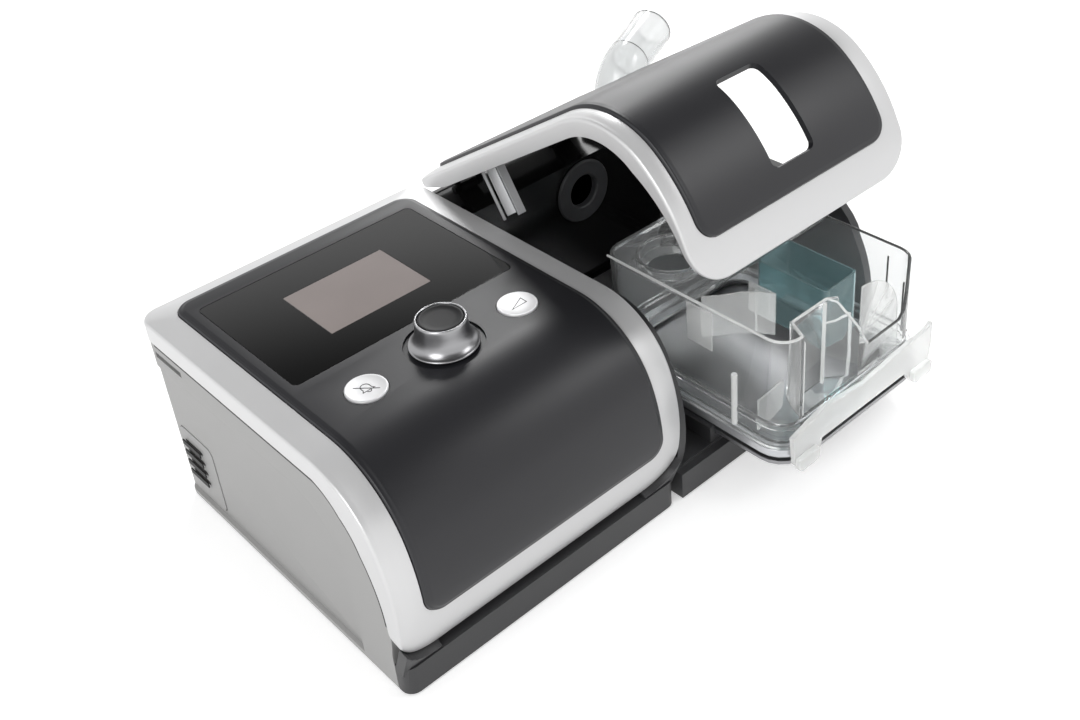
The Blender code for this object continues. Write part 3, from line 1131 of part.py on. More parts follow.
def build_rear_housing():
    base_z = BAY_FLOOR_Z + GAP
    housing = box("rear_housing", (HOUSING_LEFT, HOUSING_FRONT_Y, base_z),
                  (HOUSING_RIGHT, HOUSING_BACK_Y, HOUSING_TOP_Z), BAY_BLACK)
    low = (TOWER_LEFT, TOWER_FRONT_Y, TOWER_BASE_Z)
    high = (BASE_RIGHT, UNIT_DEPTH - BASE_INSET, TOWER_TOP_Z)
    add(housing,
        box("tower_root", (TOWER_LEFT, HOUSING_FRONT_Y, HOUSING_TOP_Z - HOUSING_WALL),
            (HOUSING_RIGHT, HOUSING_BACK_Y, TOWER_BASE_Z + HOUSING_WALL)),
        slab("tower", low, high, TOWER_RADIUS))
    for start in KNUCKLE_XS:
        for side in (start - GAP - CHEEK_WIDTH, start + KNUCKLE_WIDTH + GAP):
            add(housing,
                box("cheek", (side, HOUSING_BACK_Y - CHEEK_DEPTH, HOUSING_TOP_Z - HOUSING_WALL),
                    (side + CHEEK_WIDTH, HOUSING_BACK_Y, HINGE_Z)),
                rod("cheek_eye", (0, HINGE_Y, HINGE_Z), "x", KNUCKLE_RADIUS, side,
                    side + CHEEK_WIDTH, COARSE_STEPS))
    for start in KNUCKLE_XS:
        cut(housing, rod("pin_bore", (0, HINGE_Y, HINGE_Z), "x", PIN_BORE_RADIUS,
                         start - CHEEK_WIDTH * 2, start + KNUCKLE_WIDTH + CHEEK_WIDTH * 2,
                         COARSE_STEPS // 2))
    wall = HOUSING_WALL
    cut(housing,
        box("hollow", (HOUSING_LEFT + wall, HOUSING_FRONT_Y + wall, -OVERRUN),
            (HOUSING_RIGHT - wall, HOUSING_BACK_Y - wall, HOUSING_TOP_Z - wall)),
        rod("gasket_hole", (GASKET_X, HOUSING_FRONT_Y, GASKET_Z), "y", GASKET_HOLE_RADIUS,
            -OVERRUN / 2, OVERRUN / 2, COARSE_STEPS),
        rod("air_hole", (0, AIR_Y, AIR_Z), "x", AIR_HOLE_RADIUS, HOUSING_LEFT - OVERRUN / 2,
            HOUSING_LEFT + OVERRUN / 2, COARSE_STEPS),
        rod("elbow_bore", (ELBOW_X, ELBOW_Y, HOUSING_TOP_Z - OVERRUN), "z", ELBOW_BORE_RADIUS, 0,
            OVERRUN * 2, ROUND_STEPS),
        rod("elbow_seat", (ELBOW_X, ELBOW_Y, ELBOW_SEAT_Z), "z", ELBOW_SEAT_RADIUS, 0, OVERRUN,
            ROUND_STEPS))
    face = HOUSING_FRONT_Y - GAP
    front = face - GASKET_PROUD
    turned("inlet_gasket", (GASKET_X, 0, GASKET_Z), "y",
           ((GASKET_RADIUS, face), (GASKET_RADIUS, front + GASKET_ROUNDING),
            (GASKET_RADIUS - GASKET_ROUNDING, front), (GASKET_BORE + GASKET_ROUNDING, front),
            (GASKET_BORE, front + GASKET_ROUNDING), (GASKET_BORE, HOUSING_FRONT_Y + wall),
            (GASKET_NECK_RADIUS, HOUSING_FRONT_Y + wall), (GASKET_NECK_RADIUS, face)),
           ROUND_STEPS, RUBBER, "frame", "ring")
    sleeve("elbow_seal", (ELBOW_X, ELBOW_Y, ELBOW_SEAT_Z), "z", ELBOW_SEAT_RADIUS - GAP,
           ELBOW_SPIGOT_RADIUS + GAP, GAP, TOWER_TOP_Z - ELBOW_SEAT_Z - GAP, COARSE_STEPS, RUBBER)


def build_lid():
    limits = (LID_LEFT, LID_RIGHT, 0, PROFILE_LENGTH, LID_BACK_RADIUS, LID_FRONT_RADIUS)
    opening = (LID_LEFT + LID_OPENING_LEFT, LID_RIGHT - LID_OPENING_RIGHT, LID_OPENING_BACK,
               PROFILE_LENGTH - LID_OPENING_FRONT, LID_OPENING_RADIUS, LID_OPENING_RADIUS)
    crease = (LID_CREASE_DROP, LID_CREASE_INSET, LID_CREASE_ROUNDING)
    frame = rim("lid_frame", limits, opening, lid_depth, crease, LID_OPENING_DROP, LID_SKIN,
                SILVER, "lid")
    edge = PANEL_EDGE_GAP
    inner = (opening[0] + edge, opening[1] - edge, opening[2] + edge, opening[3] - edge,
             LID_OPENING_RADIUS - edge, LID_OPENING_RADIUS - edge)
    panel = cushion("lid_panel", inner, LID_PANEL_UNDERSIDE, LID_PANEL_EDGE_DROP,
                    PANEL_SHOULDER_RISE, LID_PANEL_TOP_RISE, CHARCOAL, "lid")
    window = [(WINDOW_LEFT, WINDOW_RIGHT, WINDOW_BACK_ARC, WINDOW_FRONT_ARC, WINDOW_RADIUS,
               WINDOW_RADIUS, drop) for drop in (LID_SIDE_DEPTH, -LID_SIDE_DEPTH)]
    cut(panel, join_loops("window", bent_loops(window, WINDOW_COLUMNS), None, "frame", "strips"))
    for piece in (frame, panel):
        cut(piece, box("notch", (NOTCH_LEFT, NOTCH_FRONT_Y, HOUSING_TOP_Z),
                       (LID_RIGHT + OVERRUN, UNIT_DEPTH + OVERRUN, UNIT_HEIGHT + OVERRUN)))
    right, near = STAY_LEFT + STAY_WIDTH, STAY_FRONT_Y
    fold = [(STAY_LEFT, near), (right, near), (right, near + STAY_THICKNESS),
            (STAY_LEFT + STAY_THICKNESS, near + STAY_THICKNESS),
            (STAY_LEFT + STAY_THICKNESS, near + STAY_FLANGE), (STAY_LEFT, near + STAY_FLANGE)]
    stack("lid_stay", ((fold, STAY_BOTTOM_Z), (fold, UNIT_HEIGHT - LID_PANEL_UNDERSIDE - GAP)),
          STAY_GREY, "lid")
    for tag, start in zip(("left", "right"), KNUCKLE_XS):
        end = start + KNUCKLE_WIDTH
        back = UNIT_DEPTH - LID_SKIN - GAP
        folded = UNIT_HEIGHT - LID_CREASE_DROP - LID_SKIN
        arm = [(back, KNUCKLE_ARM_BOTTOM_Z), (back, (folded + UNIT_HEIGHT - LID_BACK_DEPTH) / 2 - GAP * 2),
               (UNIT_DEPTH - LID_CREASE_INSET - LID_SKIN, folded - GAP * 2),
               (UNIT_DEPTH - LID_OPENING_BACK, UNIT_HEIGHT - LID_OPENING_DROP - LID_SKIN - GAP),
               (back - KNUCKLE_ARM, UNIT_HEIGHT - LID_OPENING_DROP - LID_SKIN - GAP),
               (back - KNUCKLE_ARM, KNUCKLE_ARM_BOTTOM_Z)]
        knuckle = side_extrusion("lid_knuckle_" + tag, arm, start, end, DARK_PLASTIC, "lid")
        add(knuckle, rod("eye", (0, HINGE_Y, HINGE_Z), "x", KNUCKLE_RADIUS, start, end, COARSE_STEPS))
        cut(knuckle, rod("pin_bore", (0, HINGE_Y, HINGE_Z), "x", PIN_BORE_RADIUS, start - OVERRUN,
                         end + OVERRUN, COARSE_STEPS))
        rod("hinge_pin_" + tag, (0, HINGE_Y, HINGE_Z), "x", PIN_RADIUS, start - GAP - CHEEK_WIDTH,
            end + GAP + CHEEK_WIDTH, COARSE_STEPS, STEEL)


def chamber_outline(grown, pocket):
    """Chamber seen from above, with or without the pocket in its front wall."""
    points = plan_outline(CHAMBER_LEFT, CHAMBER_RIGHT, CHAMBER_FRONT_Y, CHAMBER_BACK_Y,
                          CHAMBER_RADIUS, CHAMBER_RADIUS)
    width = CHAMBER_RIGHT - CHAMBER_LEFT
    deep = POCKET_DEPTH if pocket else 0
    dents = ((POCKET_START_SHARE, 0), (POCKET_LEFT_SHARE, deep), (POCKET_RIGHT_SHARE, deep),
             (POCKET_END_SHARE, 0))
    points += [(CHAMBER_LEFT + width * share, CHAMBER_FRONT_Y + depth) for share, depth in dents]
    return grow_outline(points, grown)


def build_chamber():
    plain = {grown: chamber_outline(grown, False)
             for grown in (CHAMBER_FLANGE, 0, CHAMBER_LIP, GAP, -CHAMBER_WALL)}
    height = CHAMBER_BASE_Z
    stack("chamber_base_plate", ((plain[CHAMBER_FLANGE], height),
                                 (plain[CHAMBER_FLANGE], height + CHAMBER_BASE_THICKNESS)),
          ALUMINIUM, "chamber")
    height += CHAMBER_BASE_THICKNESS + GAP
    wall_bottom = height + CHAMBER_SEAL_THICKNESS + GAP
    stack("chamber_seal", ((plain[CHAMBER_LIP], height),
                           (plain[CHAMBER_LIP], height + CHAMBER_SEAL_THICKNESS),
                           (plain[-CHAMBER_WALL], height + CHAMBER_SEAL_THICKNESS),
                           (plain[-CHAMBER_WALL], height)), RUBBER, "chamber", "ring")
    clamp_top = wall_bottom + CHAMBER_CLAMP_THICKNESS
    stack("chamber_clamp", ((plain[CHAMBER_FLANGE], wall_bottom), (plain[CHAMBER_FLANGE], clamp_top),
                            (plain[GAP], clamp_top), (plain[GAP], wall_bottom)),
          CLAMP_GREY, "chamber", "ring")
    flange = clamp_top + GAP
    flange_top = flange + CHAMBER_FLANGE_THICKNESS
    lip_top = CHAMBER_LIP_Z + CHAMBER_LIP_THICKNESS
    shaped, shaped_in = chamber_outline(0, True), chamber_outline(-CHAMBER_WALL, True)
    tub = stack("chamber_tub",
                ((plain[0], wall_bottom), (plain[0], flange), (plain[CHAMBER_FLANGE], flange),
                 (plain[CHAMBER_FLANGE], flange_top), (plain[0], flange_top),
                 (plain[0], CHAMBER_LIP_Z), (plain[CHAMBER_LIP], CHAMBER_LIP_Z),
                 (plain[CHAMBER_LIP], lip_top), (plain[0], lip_top), (shaped, lip_top),
                 (shaped, CHAMBER_TOP_Z), (shaped_in, CHAMBER_TOP_Z), (shaped_in, lip_top),
                 (plain[-CHAMBER_WALL], lip_top - CHAMBER_WALL),
                 (plain[-CHAMBER_WALL], wall_bottom)), CLEAR, "chamber", "ring")
    cut(tub, rod("spout_hole", (GASKET_X, CHAMBER_BACK_Y, GASKET_Z), "y", SPOUT_HOLE_RADIUS,
                 -OVERRUN / 2, OVERRUN / 2, COARSE_STEPS))
    side = CHAMBER_WALL + GAP
    radius = CHAMBER_RADIUS - side
    low = COVER_TOP_Z - COVER_THICKNESS
    top = plan_outline(CHAMBER_LEFT + side, CHAMBER_RIGHT - side, COVER_FRONT_Y,
                       CHAMBER_BACK_Y - side, SHARP_RADIUS, radius)
    cover = stack("chamber_cover", ((top, low), (top, COVER_TOP_Z)), CLEAR, "chamber")
    cut(cover, rod("dome_opening", (DOME_X, DOME_Y, low), "z", DOME_RADIUS - DOME_WALL / 2,
                   -OVERRUN, OVERRUN, ROUND_STEPS))
    narrow = DOME_RADIUS * DOME_FLOOR_SHARE
    add(cover, turned("dome", (DOME_X, DOME_Y, low), "z",
                      ((DOME_RADIUS, COVER_THICKNESS / 2), (DOME_RADIUS, -DOME_DEPTH / 2),
                       (narrow, -DOME_DEPTH), (narrow - DOME_WALL, -DOME_DEPTH + DOME_WALL),
                       (DOME_RADIUS - DOME_WALL, -DOME_DEPTH / 2),
                       (DOME_RADIUS - DOME_WALL, COVER_THICKNESS / 2)), ROUND_STEPS, None, "frame",
                      "ring"))
    outer = plan_outline(DUCT_LEFT, DUCT_RIGHT, DUCT_FRONT_Y, COVER_FRONT_Y - GAP, DUCT_RADIUS,
                         DUCT_RADIUS)
    inner = grow_outline(outer, -DUCT_WALL)
    stack("chamber_duct", ((outer, DUCT_BOTTOM_Z), (outer, DUCT_TOP_Z), (inner, DUCT_TOP_Z),
                           (inner, DUCT_BOTTOM_Z)), TEAL, "chamber", "ring")
    grip = [(GRIP_LEFT, GRIP_TAB_Y), (GRIP_LEFT + GRIP_TAB, GRIP_TAB_Y),
            (GRIP_LEFT + GRIP_TAB, GRIP_FRONT_Y), (GRIP_RIGHT - GRIP_TAB, GRIP_FRONT_Y),
            (GRIP_RIGHT - GRIP_TAB, GRIP_TAB_Y), (GRIP_RIGHT, GRIP_TAB_Y),
            (GRIP_RIGHT, GRIP_BACK_Y), (GRIP_LEFT, GRIP_BACK_Y)]
    stack("chamber_grip", ((grip, GRIP_BOTTOM_Z), (grip, GRIP_TOP_Z)), CLEAR, "chamber")


def build_elbow():
    """Hollow elbow swept along an upright, a bend and a nearly level tube."""
    upright = ((ELBOW_SEAT_Z - ELBOW_SPIGOT_BELOW, ELBOW_SPIGOT_RADIUS),
               (TOWER_TOP_Z + GAP, ELBOW_SPIGOT_RADIUS), (TOWER_TOP_Z + GAP, ELBOW_NECK_RADIUS),
               (TOWER_TOP_Z + ELBOW_CUP_LIFT, ELBOW_NECK_RADIUS),
               (TOWER_TOP_Z + ELBOW_CUP_LIFT * 2, ELBOW_CUP_RADIUS))
    stations = [(Vector((ELBOW_X, ELBOW_Y, z)), 0.0, radius) for z, radius in upright]
    lining = [stations[0][:2] + (ELBOW_SPIGOT_RADIUS,), stations[3][:2] + (ELBOW_SPIGOT_RADIUS,),
              stations[4]]
    start = stations[-1][0]
    level = Vector((math.cos(ELBOW_AZIMUTH), math.sin(ELBOW_AZIMUTH), 0))
    turn = math.pi / 2 - ELBOW_RISE
    for step in range(1, ELBOW_BEND_STEPS + 1):
        angle = turn * step / ELBOW_BEND_STEPS
        place = start + ELBOW_BEND_RADIUS * ((1 - math.cos(angle)) * level + Vector((0, 0, math.sin(angle))))
        radius = between(step, 0, ELBOW_BEND_STEPS, ELBOW_CUP_RADIUS, ELBOW_TUBE_RADIUS)
        stations.append((place, angle, radius))
    ahead = level * math.sin(turn) + Vector((0, 0, math.cos(turn)))
    stations.append((stations[-1][0] + ahead * ELBOW_MOUTH_REACH, turn, ELBOW_TUBE_RADIUS))
    aside = Vector((-level.y, level.x, 0))
    loops = []
    lining += stations[len(upright):]
    for shrink, order in ((0, stations), (ELBOW_WALL, lining[::-1])):
        for place, angle, radius in order:
            up = Vector((0, 0, 1)) * math.sin(angle) - level * math.cos(angle)
            loops.append([place + (radius - shrink) * (math.cos(math.tau * step / ROUND_STEPS) * aside
                                                       + math.sin(math.tau * step / ROUND_STEPS) * up)
                          for step in range(ROUND_STEPS)])
    join_loops("outlet_elbow", loops, CLEAR, "elbow", "ring")


def settle():
    """Hang every piece on its pivot and stand the whole thing centred on the table."""
    bpy.context.view_layer.update()
    frame = bpy.data.objects.new("frame", None)
    bpy.context.scene.collection.objects.link(frame)
    places = {
        "lid": (LID_LEFT, HINGE_Y, HINGE_Z),
        "chamber": (CHAMBER_LEFT, CHAMBER_FRONT_Y, CHAMBER_BASE_Z),
        "press": (KNOB_X, KNOB_Y, KNOB_BASE_Z),
        "knob": (KNOB_X, KNOB_Y, KNOB_BASE_Z),
        "mute": (MUTE_X, MUTE_Y, PANEL_TOP_Z),
        "ramp": (RAMP_X, RAMP_Y, PANEL_TOP_Z),
        "impeller": (BLOWER_X, BLOWER_Y, BLOWER_TOP_Z),
        "filter": (CASING_LEFT, FILTER_DOOR_FRONT, FILTER_DOOR_BOTTOM),
        "card": (CASING_LEFT, CARD_Y, CARD_Z),
        "elbow": (ELBOW_X, ELBOW_Y, TOWER_TOP_Z),
    }
    for name, place in places.items():
        axis = bpy.data.objects.new(name + "_axis", None)
        bpy.context.scene.collection.objects.link(axis)
        axis.parent = frame
        axis.location = place
        pivots[name] = axis
    pivots["lid"].rotation_euler.x = -LID_REST_ANGLE
    for shape, pivot in shapes:
        shape.parent = frame
        if pivot != "frame":
            shape.data.transform(Matrix.Translation(-Vector(places[pivot])))
            shape.parent = pivots[pivot]
        for face in shape.data.polygons:
            face.use_smooth = True
        shape.data.set_sharp_from_angle(angle=SMOOTH_ANGLE)
    bpy.context.view_layer.update()
    corners = [shape.matrix_world @ vertex.co for shape, pivot in shapes for vertex in shape.data.vertices]
    low = [min(corner[side] for corner in corners) for side in range(3)]
    high = [max(corner[side] for corner in corners) for side in range(3)]
    frame.location = (-(low[0] + high[0]) / 2, -(low[1] + high[1]) / 2, -low[2])
    bpy.context.view_layer.update()


clear_all()
SILVER = make_paint("satin_silver", (0.72, 0.72, 0.73), 0.32, 0.75)
CHARCOAL = make_paint("charcoal", (0.060, 0.060, 0.066), 0.38)
GLASS = make_paint("display_glass", (0.012, 0.011, 0.011), 0.06, 0.0, 0.0, 0.6)
SCREEN = make_paint("screen", (0.20, 0.17, 0.16), 0.35)
BRUSHED = make_paint("brushed_knob", (0.70, 0.70, 0.71), 0.26, 0.95)
CAP_BLACK = make_paint("black_plastic", (0.030, 0.030, 0.033), 0.45)
BUTTON_SILVER = make_paint("button_silver", (0.78, 0.78, 0.79), 0.35, 0.4)
CASING_GREY = make_paint("casing_grey", (0.205, 0.205, 0.210), 0.55)
BASE_GREY = make_paint("base_grey", (0.055, 0.055, 0.058), 0.50)
BAY_BLACK = make_paint("bay_black", (0.014, 0.014, 0.015), 0.42)
RUBBER = make_paint("dark_rubber", (0.040, 0.042, 0.044), 0.65)
STEEL = make_paint("steel", (0.56, 0.56, 0.57), 0.30, 1.0)
ALUMINIUM = make_paint("aluminium", (0.66, 0.66, 0.68), 0.30, 1.0)
COPPER = make_paint("heater_foil", (0.45, 0.26, 0.14), 0.45, 0.8)
DARK_PLASTIC = make_paint("dark_plastic", (0.045, 0.045, 0.048), 0.50)
WHITE_PLASTIC = make_paint("white_plastic", (0.78, 0.78, 0.76), 0.45)
BOARD_GREEN = make_paint("board_green", (0.020, 0.130, 0.060), 0.45)
FOAM = make_paint("filter_foam", (0.300, 0.300, 0.290), 0.90)
STAY_GREY = make_paint("stay_grey", (0.520, 0.525, 0.535), 0.35, 0.3)
CLAMP_GREY = make_paint("clamp_grey", (0.480, 0.490, 0.510), 0.30, 0.4)
CLEAR = make_paint("clear_plastic", (0.900, 0.920, 0.930), 0.06, 0.0, 0.9)
TEAL = make_paint("teal_plastic", (0.420, 0.620, 0.640), 0.10, 0.0, 0.8)
build_bezel()
build_panel()
build_display()
build_knob()
build_buttons()
build_casing()
build_filter_and_card()
build_tray()
build_feet()
build_board()
build_blower()
build_inlet()
build_humidifier_base()
build_rear_housing()
build_lid()
build_chamber()
build_elbow()
settle()
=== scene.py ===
"""Looks of the bilevel airway pressure machine with its heated humidifier.

Lengths are in metres. Shapes are drawn with the machine closed, X to the right along the
front, Y to the back and Z up, from the left front corner of the main unit on the table.
"""
import json
import math

import bmesh
import bpy
from mathutils import Matrix, Vector


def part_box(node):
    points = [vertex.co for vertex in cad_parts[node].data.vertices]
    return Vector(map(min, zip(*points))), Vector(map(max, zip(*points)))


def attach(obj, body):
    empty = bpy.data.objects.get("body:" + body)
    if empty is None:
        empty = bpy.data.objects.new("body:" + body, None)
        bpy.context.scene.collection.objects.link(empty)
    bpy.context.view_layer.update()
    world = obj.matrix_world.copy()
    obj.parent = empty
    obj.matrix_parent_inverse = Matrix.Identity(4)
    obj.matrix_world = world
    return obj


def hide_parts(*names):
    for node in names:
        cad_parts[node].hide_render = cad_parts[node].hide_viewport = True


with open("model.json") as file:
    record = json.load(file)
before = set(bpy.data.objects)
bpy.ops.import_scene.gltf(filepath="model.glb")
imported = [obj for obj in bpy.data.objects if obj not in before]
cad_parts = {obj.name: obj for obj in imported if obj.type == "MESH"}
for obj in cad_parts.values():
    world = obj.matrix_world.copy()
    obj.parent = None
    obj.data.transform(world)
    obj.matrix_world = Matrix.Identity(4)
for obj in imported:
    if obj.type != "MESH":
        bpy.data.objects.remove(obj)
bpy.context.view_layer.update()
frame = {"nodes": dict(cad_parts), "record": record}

# Sizes that the solids share
UNIT_DEPTH = 0.196
UNIT_HEIGHT = 0.118
MAIN_WIDTH = 0.170
LID_LEFT = 0.172
LID_RIGHT = 0.328
FIRST_BEND_Y = 0.045
FIRST_BEND_RADIUS = 0.050
FIRST_BEND_ANGLE = math.radians(70)
SECOND_BEND_RADIUS = 0.090
SECOND_BEND_ANGLE = math.radians(43.8)
HINGE_Y = 0.1935
HINGE_Z = 0.1070
LID_REST_ANGLE = math.radians(32)

# Lengths along the side profile
FLAT_LENGTH = UNIT_DEPTH - FIRST_BEND_Y
FIRST_BEND_LENGTH = FIRST_BEND_RADIUS * FIRST_BEND_ANGLE
FIRST_BEND_END = FLAT_LENGTH + FIRST_BEND_LENGTH
PROFILE_LENGTH = FIRST_BEND_END + SECOND_BEND_RADIUS * SECOND_BEND_ANGLE

# Fineness of rounded shapes
CORNER_STEPS = 14
FLAT_COLUMNS = 8
BEND_COLUMNS = 46
ROUND_STEPS = 96
SMOOTH_ANGLE = math.radians(40)
WELD_DISTANCE = 0.000004
SHARP_RADIUS = 0.0001
BEVEL_SEGMENTS = 2
FINE_BEVEL_SEGMENTS = 3
OVERRUN = 0.020
GAP = 0.0003

low_corner, high_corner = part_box("top_bezel")
ORIGIN = Vector((low_corner[0], high_corner[1] - UNIT_DEPTH, 0))
PIVOT = Vector((0, HINGE_Y, HINGE_Z))
OPEN_LID = (Matrix.Translation(PIVOT) @ Matrix.Rotation(-LID_REST_ANGLE, 4, 'X')
            @ Matrix.Translation(-PIVOT))


def make_piece(name, vertices, faces, look, body, replaced=(), bevel=0.0):
    """A welded, smooth-shaded mesh that moves with a body."""
    mesh = bpy.data.meshes.new(name)
    mesh.from_pydata([tuple(vertex) for vertex in vertices], [], faces)
    piece = bpy.data.objects.new(name, mesh)
    bpy.context.scene.collection.objects.link(piece)
    clean(piece)
    if look is None:
        return piece
    place = Matrix.Translation(ORIGIN)
    if body == "lid":
        place = place @ OPEN_LID
    mesh.transform(place)
    settle_piece(piece, look, body, replaced, bevel)
    return piece


def clean(piece):
    work = bmesh.new()
    work.from_mesh(piece.data)
    bmesh.ops.remove_doubles(work, verts=work.verts, dist=WELD_DISTANCE)
    bmesh.ops.recalc_face_normals(work, faces=work.faces)
    work.to_mesh(piece.data)
    work.free()


def settle_piece(piece, look, body, replaced, bevel, segments=BEVEL_SEGMENTS):
    """Shade, soften the edges, give the material and hang the piece on its body."""
    mesh = piece.data
    mesh.materials.clear()
    mesh.materials.append(look)
    for face in mesh.polygons:
        face.use_smooth = True
    mesh.set_sharp_from_angle(angle=SMOOTH_ANGLE)
    if bevel:
        modifier = piece.modifiers.new("Soft edges", 'BEVEL')
        modifier.width = bevel
        modifier.segments = segments
        modifier.limit_method = 'ANGLE'
        modifier.angle_limit = SMOOTH_ANGLE
        modifier.harden_normals = True
    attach(piece, body)
    if replaced:
        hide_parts(*replaced)


def refined(node, look, body, bevel, tools=()):
    """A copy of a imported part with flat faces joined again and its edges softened."""
    source = frame["nodes"][node]
    piece = bpy.data.objects.new(node + "_fine", source.data.copy())
    bpy.context.scene.collection.objects.link(piece)
    work = bmesh.new()
    work.from_mesh(piece.data)
    bmesh.ops.remove_doubles(work, verts=work.verts, dist=WELD_DISTANCE)
    bmesh.ops.dissolve_limit(work, angle_limit=math.radians(0.6), verts=work.verts,
                             edges=work.edges, use_dissolve_boundaries=False)
    bmesh.ops.recalc_face_normals(work, faces=work.faces)
    work.to_mesh(piece.data)
    work.free()
    for tool in tools:
        tool.data.transform(Matrix.Translation(ORIGIN))
        combine(piece, tool)
    settle_piece(piece, look, body, (node,), bevel)
    return piece


def combine(target, tool):
    """Cut one closed mesh out of another and keep the plain result."""
    modifier = target.modifiers.new("Difference", 'BOOLEAN')
    modifier.operation = 'DIFFERENCE'
    modifier.solver = 'EXACT'
    modifier.object = tool
    bpy.context.view_layer.update()
    graph = bpy.context.evaluated_depsgraph_get()
    result = bpy.data.meshes.new_from_object(target.evaluated_get(graph))
    target.modifiers.clear()
    target.data = result
    bpy.data.objects.remove(tool, do_unlink=True)


def skin(loops, ends):
    """Vertices and faces between loops of equal count: flat or strip ends, or a closed ring."""
    count = len(loops[0])
    vertices = [point for loop in loops for point in loop]
    pairs = [(row, row + 1) for row in range(len(loops) - 1)]
    if ends == "ring":
        pairs.append((len(loops) - 1, 0))
    faces = []
    for lower, upper in pairs:
        for spot in range(count):
            after = (spot + 1) % count
            faces.append((lower * count + spot, lower * count + after,
                          upper * count + after, upper * count + spot))
    for start in (0, (len(loops) - 1) * count):
        if ends == "flat":
            faces.append(tuple(start + spot for spot in range(count)))
        if ends == "strips":
            for spot in range(count // 2 - 1):
                faces.append((start + spot, start + spot + 1,
                              start + count - 2 - spot, start + count - 1 - spot))
    return vertices, faces


def plan_outline(left, right, front, back, front_radius, back_radius, steps=CORNER_STEPS):
    """Rectangle seen from above with rounded corners."""
    points = []
    corners = ((right, front, front_radius, -1, 1, 270), (right, back, back_radius, -1, -1, 0),
               (left, back, back_radius, 1, -1, 90), (left, front, front_radius, 1, 1, 180))
    for x, y, radius, side, way, start in corners:
        for step in range(steps + 1):
            angle = math.radians(start + 90 * step / steps)
            points.append((x + side * radius + radius * math.cos(angle),
                           y + way * radius + radius * math.sin(angle)))
    return points


def stacked(levels):
    """Loops from outlines seen from above, each at its own height."""
    return [[(x, y, height) for x, y in outline] for outline, height in levels]


def turned_loops(middle, profile):
    """Loops of an upright body of revolution from radius and height pairs."""
    loops = []
    for radius, height in profile:
        loop = []
        for step in range(ROUND_STEPS):
            angle = math.tau * step / ROUND_STEPS
            offset = (radius * math.cos(angle), radius * math.sin(angle), height)
            loop.append(tuple(Vector(middle) + Vector(offset)))
        loops.append(loop)
    return loops


def tool_from(loops, ends="flat"):
    """A closed mesh that is only used to cut."""
    vertices, faces = skin(loops, ends)
    return make_piece("tool", vertices, faces, None, None)


def block(low, high):
    outline = ((low[0], low[1]), (high[0], low[1]), (high[0], high[1]), (low[0], high[1]))
    return stacked(((outline, low[2]), (outline, high[2])))


def profile_point(arc):
    """Point of the side profile and its outward direction at an arc length from the back."""
    centre = Vector((FIRST_BEND_Y, UNIT_HEIGHT - FIRST_BEND_RADIUS))
    if arc <= FLAT_LENGTH:
        return Vector((UNIT_DEPTH - arc, UNIT_HEIGHT)), Vector((0, 1))
    if arc <= FIRST_BEND_END:
        angle = (arc - FLAT_LENGTH) / FIRST_BEND_RADIUS
        outward = Vector((-math.sin(angle), math.cos(angle)))
        return centre + FIRST_BEND_RADIUS * outward, outward
    turn = Vector((-math.sin(FIRST_BEND_ANGLE), math.cos(FIRST_BEND_ANGLE)))
    centre = centre - (SECOND_BEND_RADIUS - FIRST_BEND_RADIUS) * turn
    angle = FIRST_BEND_ANGLE + (arc - FIRST_BEND_END) / SECOND_BEND_RADIUS
    outward = Vector((-math.sin(angle), math.cos(angle)))
    return centre + SECOND_BEND_RADIUS * outward, outward


def bent(x, arc, drop):
    """Point that lies a drop below the profile surface."""
    point, outward = profile_point(arc)
    place = point - drop * outward
    return (x, place.x, place.y)


def flat_outline(left, right, back, front, back_radius, front_radius):
    """Rounded outline on the unrolled profile, the left side first and the right side after."""
    side = []
    for step in range(CORNER_STEPS + 1):
        turn = math.pi / 2 * step / CORNER_STEPS
        side.append((back_radius * (1 - math.sin(turn)), back + back_radius * (1 - math.cos(turn))))
    start, end = back + back_radius, front - front_radius
    if start < FLAT_LENGTH:
        side += [(0, start + (FLAT_LENGTH - start) * step / FLAT_COLUMNS)
                 for step in range(1, FLAT_COLUMNS)]
        side += [(0, FLAT_LENGTH + (end - FLAT_LENGTH) * step / BEND_COLUMNS)
                 for step in range(BEND_COLUMNS)]
    else:
        side += [(0, start + (end - start) * step / BEND_COLUMNS)
                 for step in range(1, BEND_COLUMNS)]
    for step in range(CORNER_STEPS + 1):
        turn = math.pi / 2 * step / CORNER_STEPS
        side.append((front_radius * (1 - math.cos(turn)),
                     front - front_radius * (1 - math.sin(turn))))
    return [(left + x, arc) for x, arc in side] + [(right - x, arc) for x, arc in reversed(side)]


def bent_loops(rows):
    """Loops on the bent surface from rows of limits, radii and drops."""
    loops = []
    for *limits, drop in rows:
        outline = flat_outline(*limits)
        loops.append([bent(x, arc, drop(arc) if callable(drop) else drop) for x, arc in outline])
    return loops


def inset_row(limits, inset, drop):
    left, right, back, front, back_radius, front_radius = limits
    return (left + inset, right - inset, back + inset, front - inset,
            max(back_radius - inset, SHARP_RADIUS), max(front_radius - inset, SHARP_RADIUS), drop)


def mixed_row(first, last, share, drop):
    """Row of limits part of the way from one row to another."""
    return (*(a + (b - a) * share for a, b in zip(first[:6], last[:6])), drop)


def between(value, low, high, first, last):
    """Value carried over in proportion from one range to another, held at its ends."""
    share = min(max((value - low) / (high - low), 0), 1)
    return first + (last - first) * share


# Looks

PLASTIC_IOR = 1.49
FLOW_MARK_SIZE = 1 / 60
FLOW_MARK_DEPTH = 0.0001
FLOW_MARK_STRENGTH = 0.25


def new_look(name):
    look = bpy.data.materials.new(name)
    look.use_nodes = True
    return look, look.node_tree.nodes, look.node_tree.links


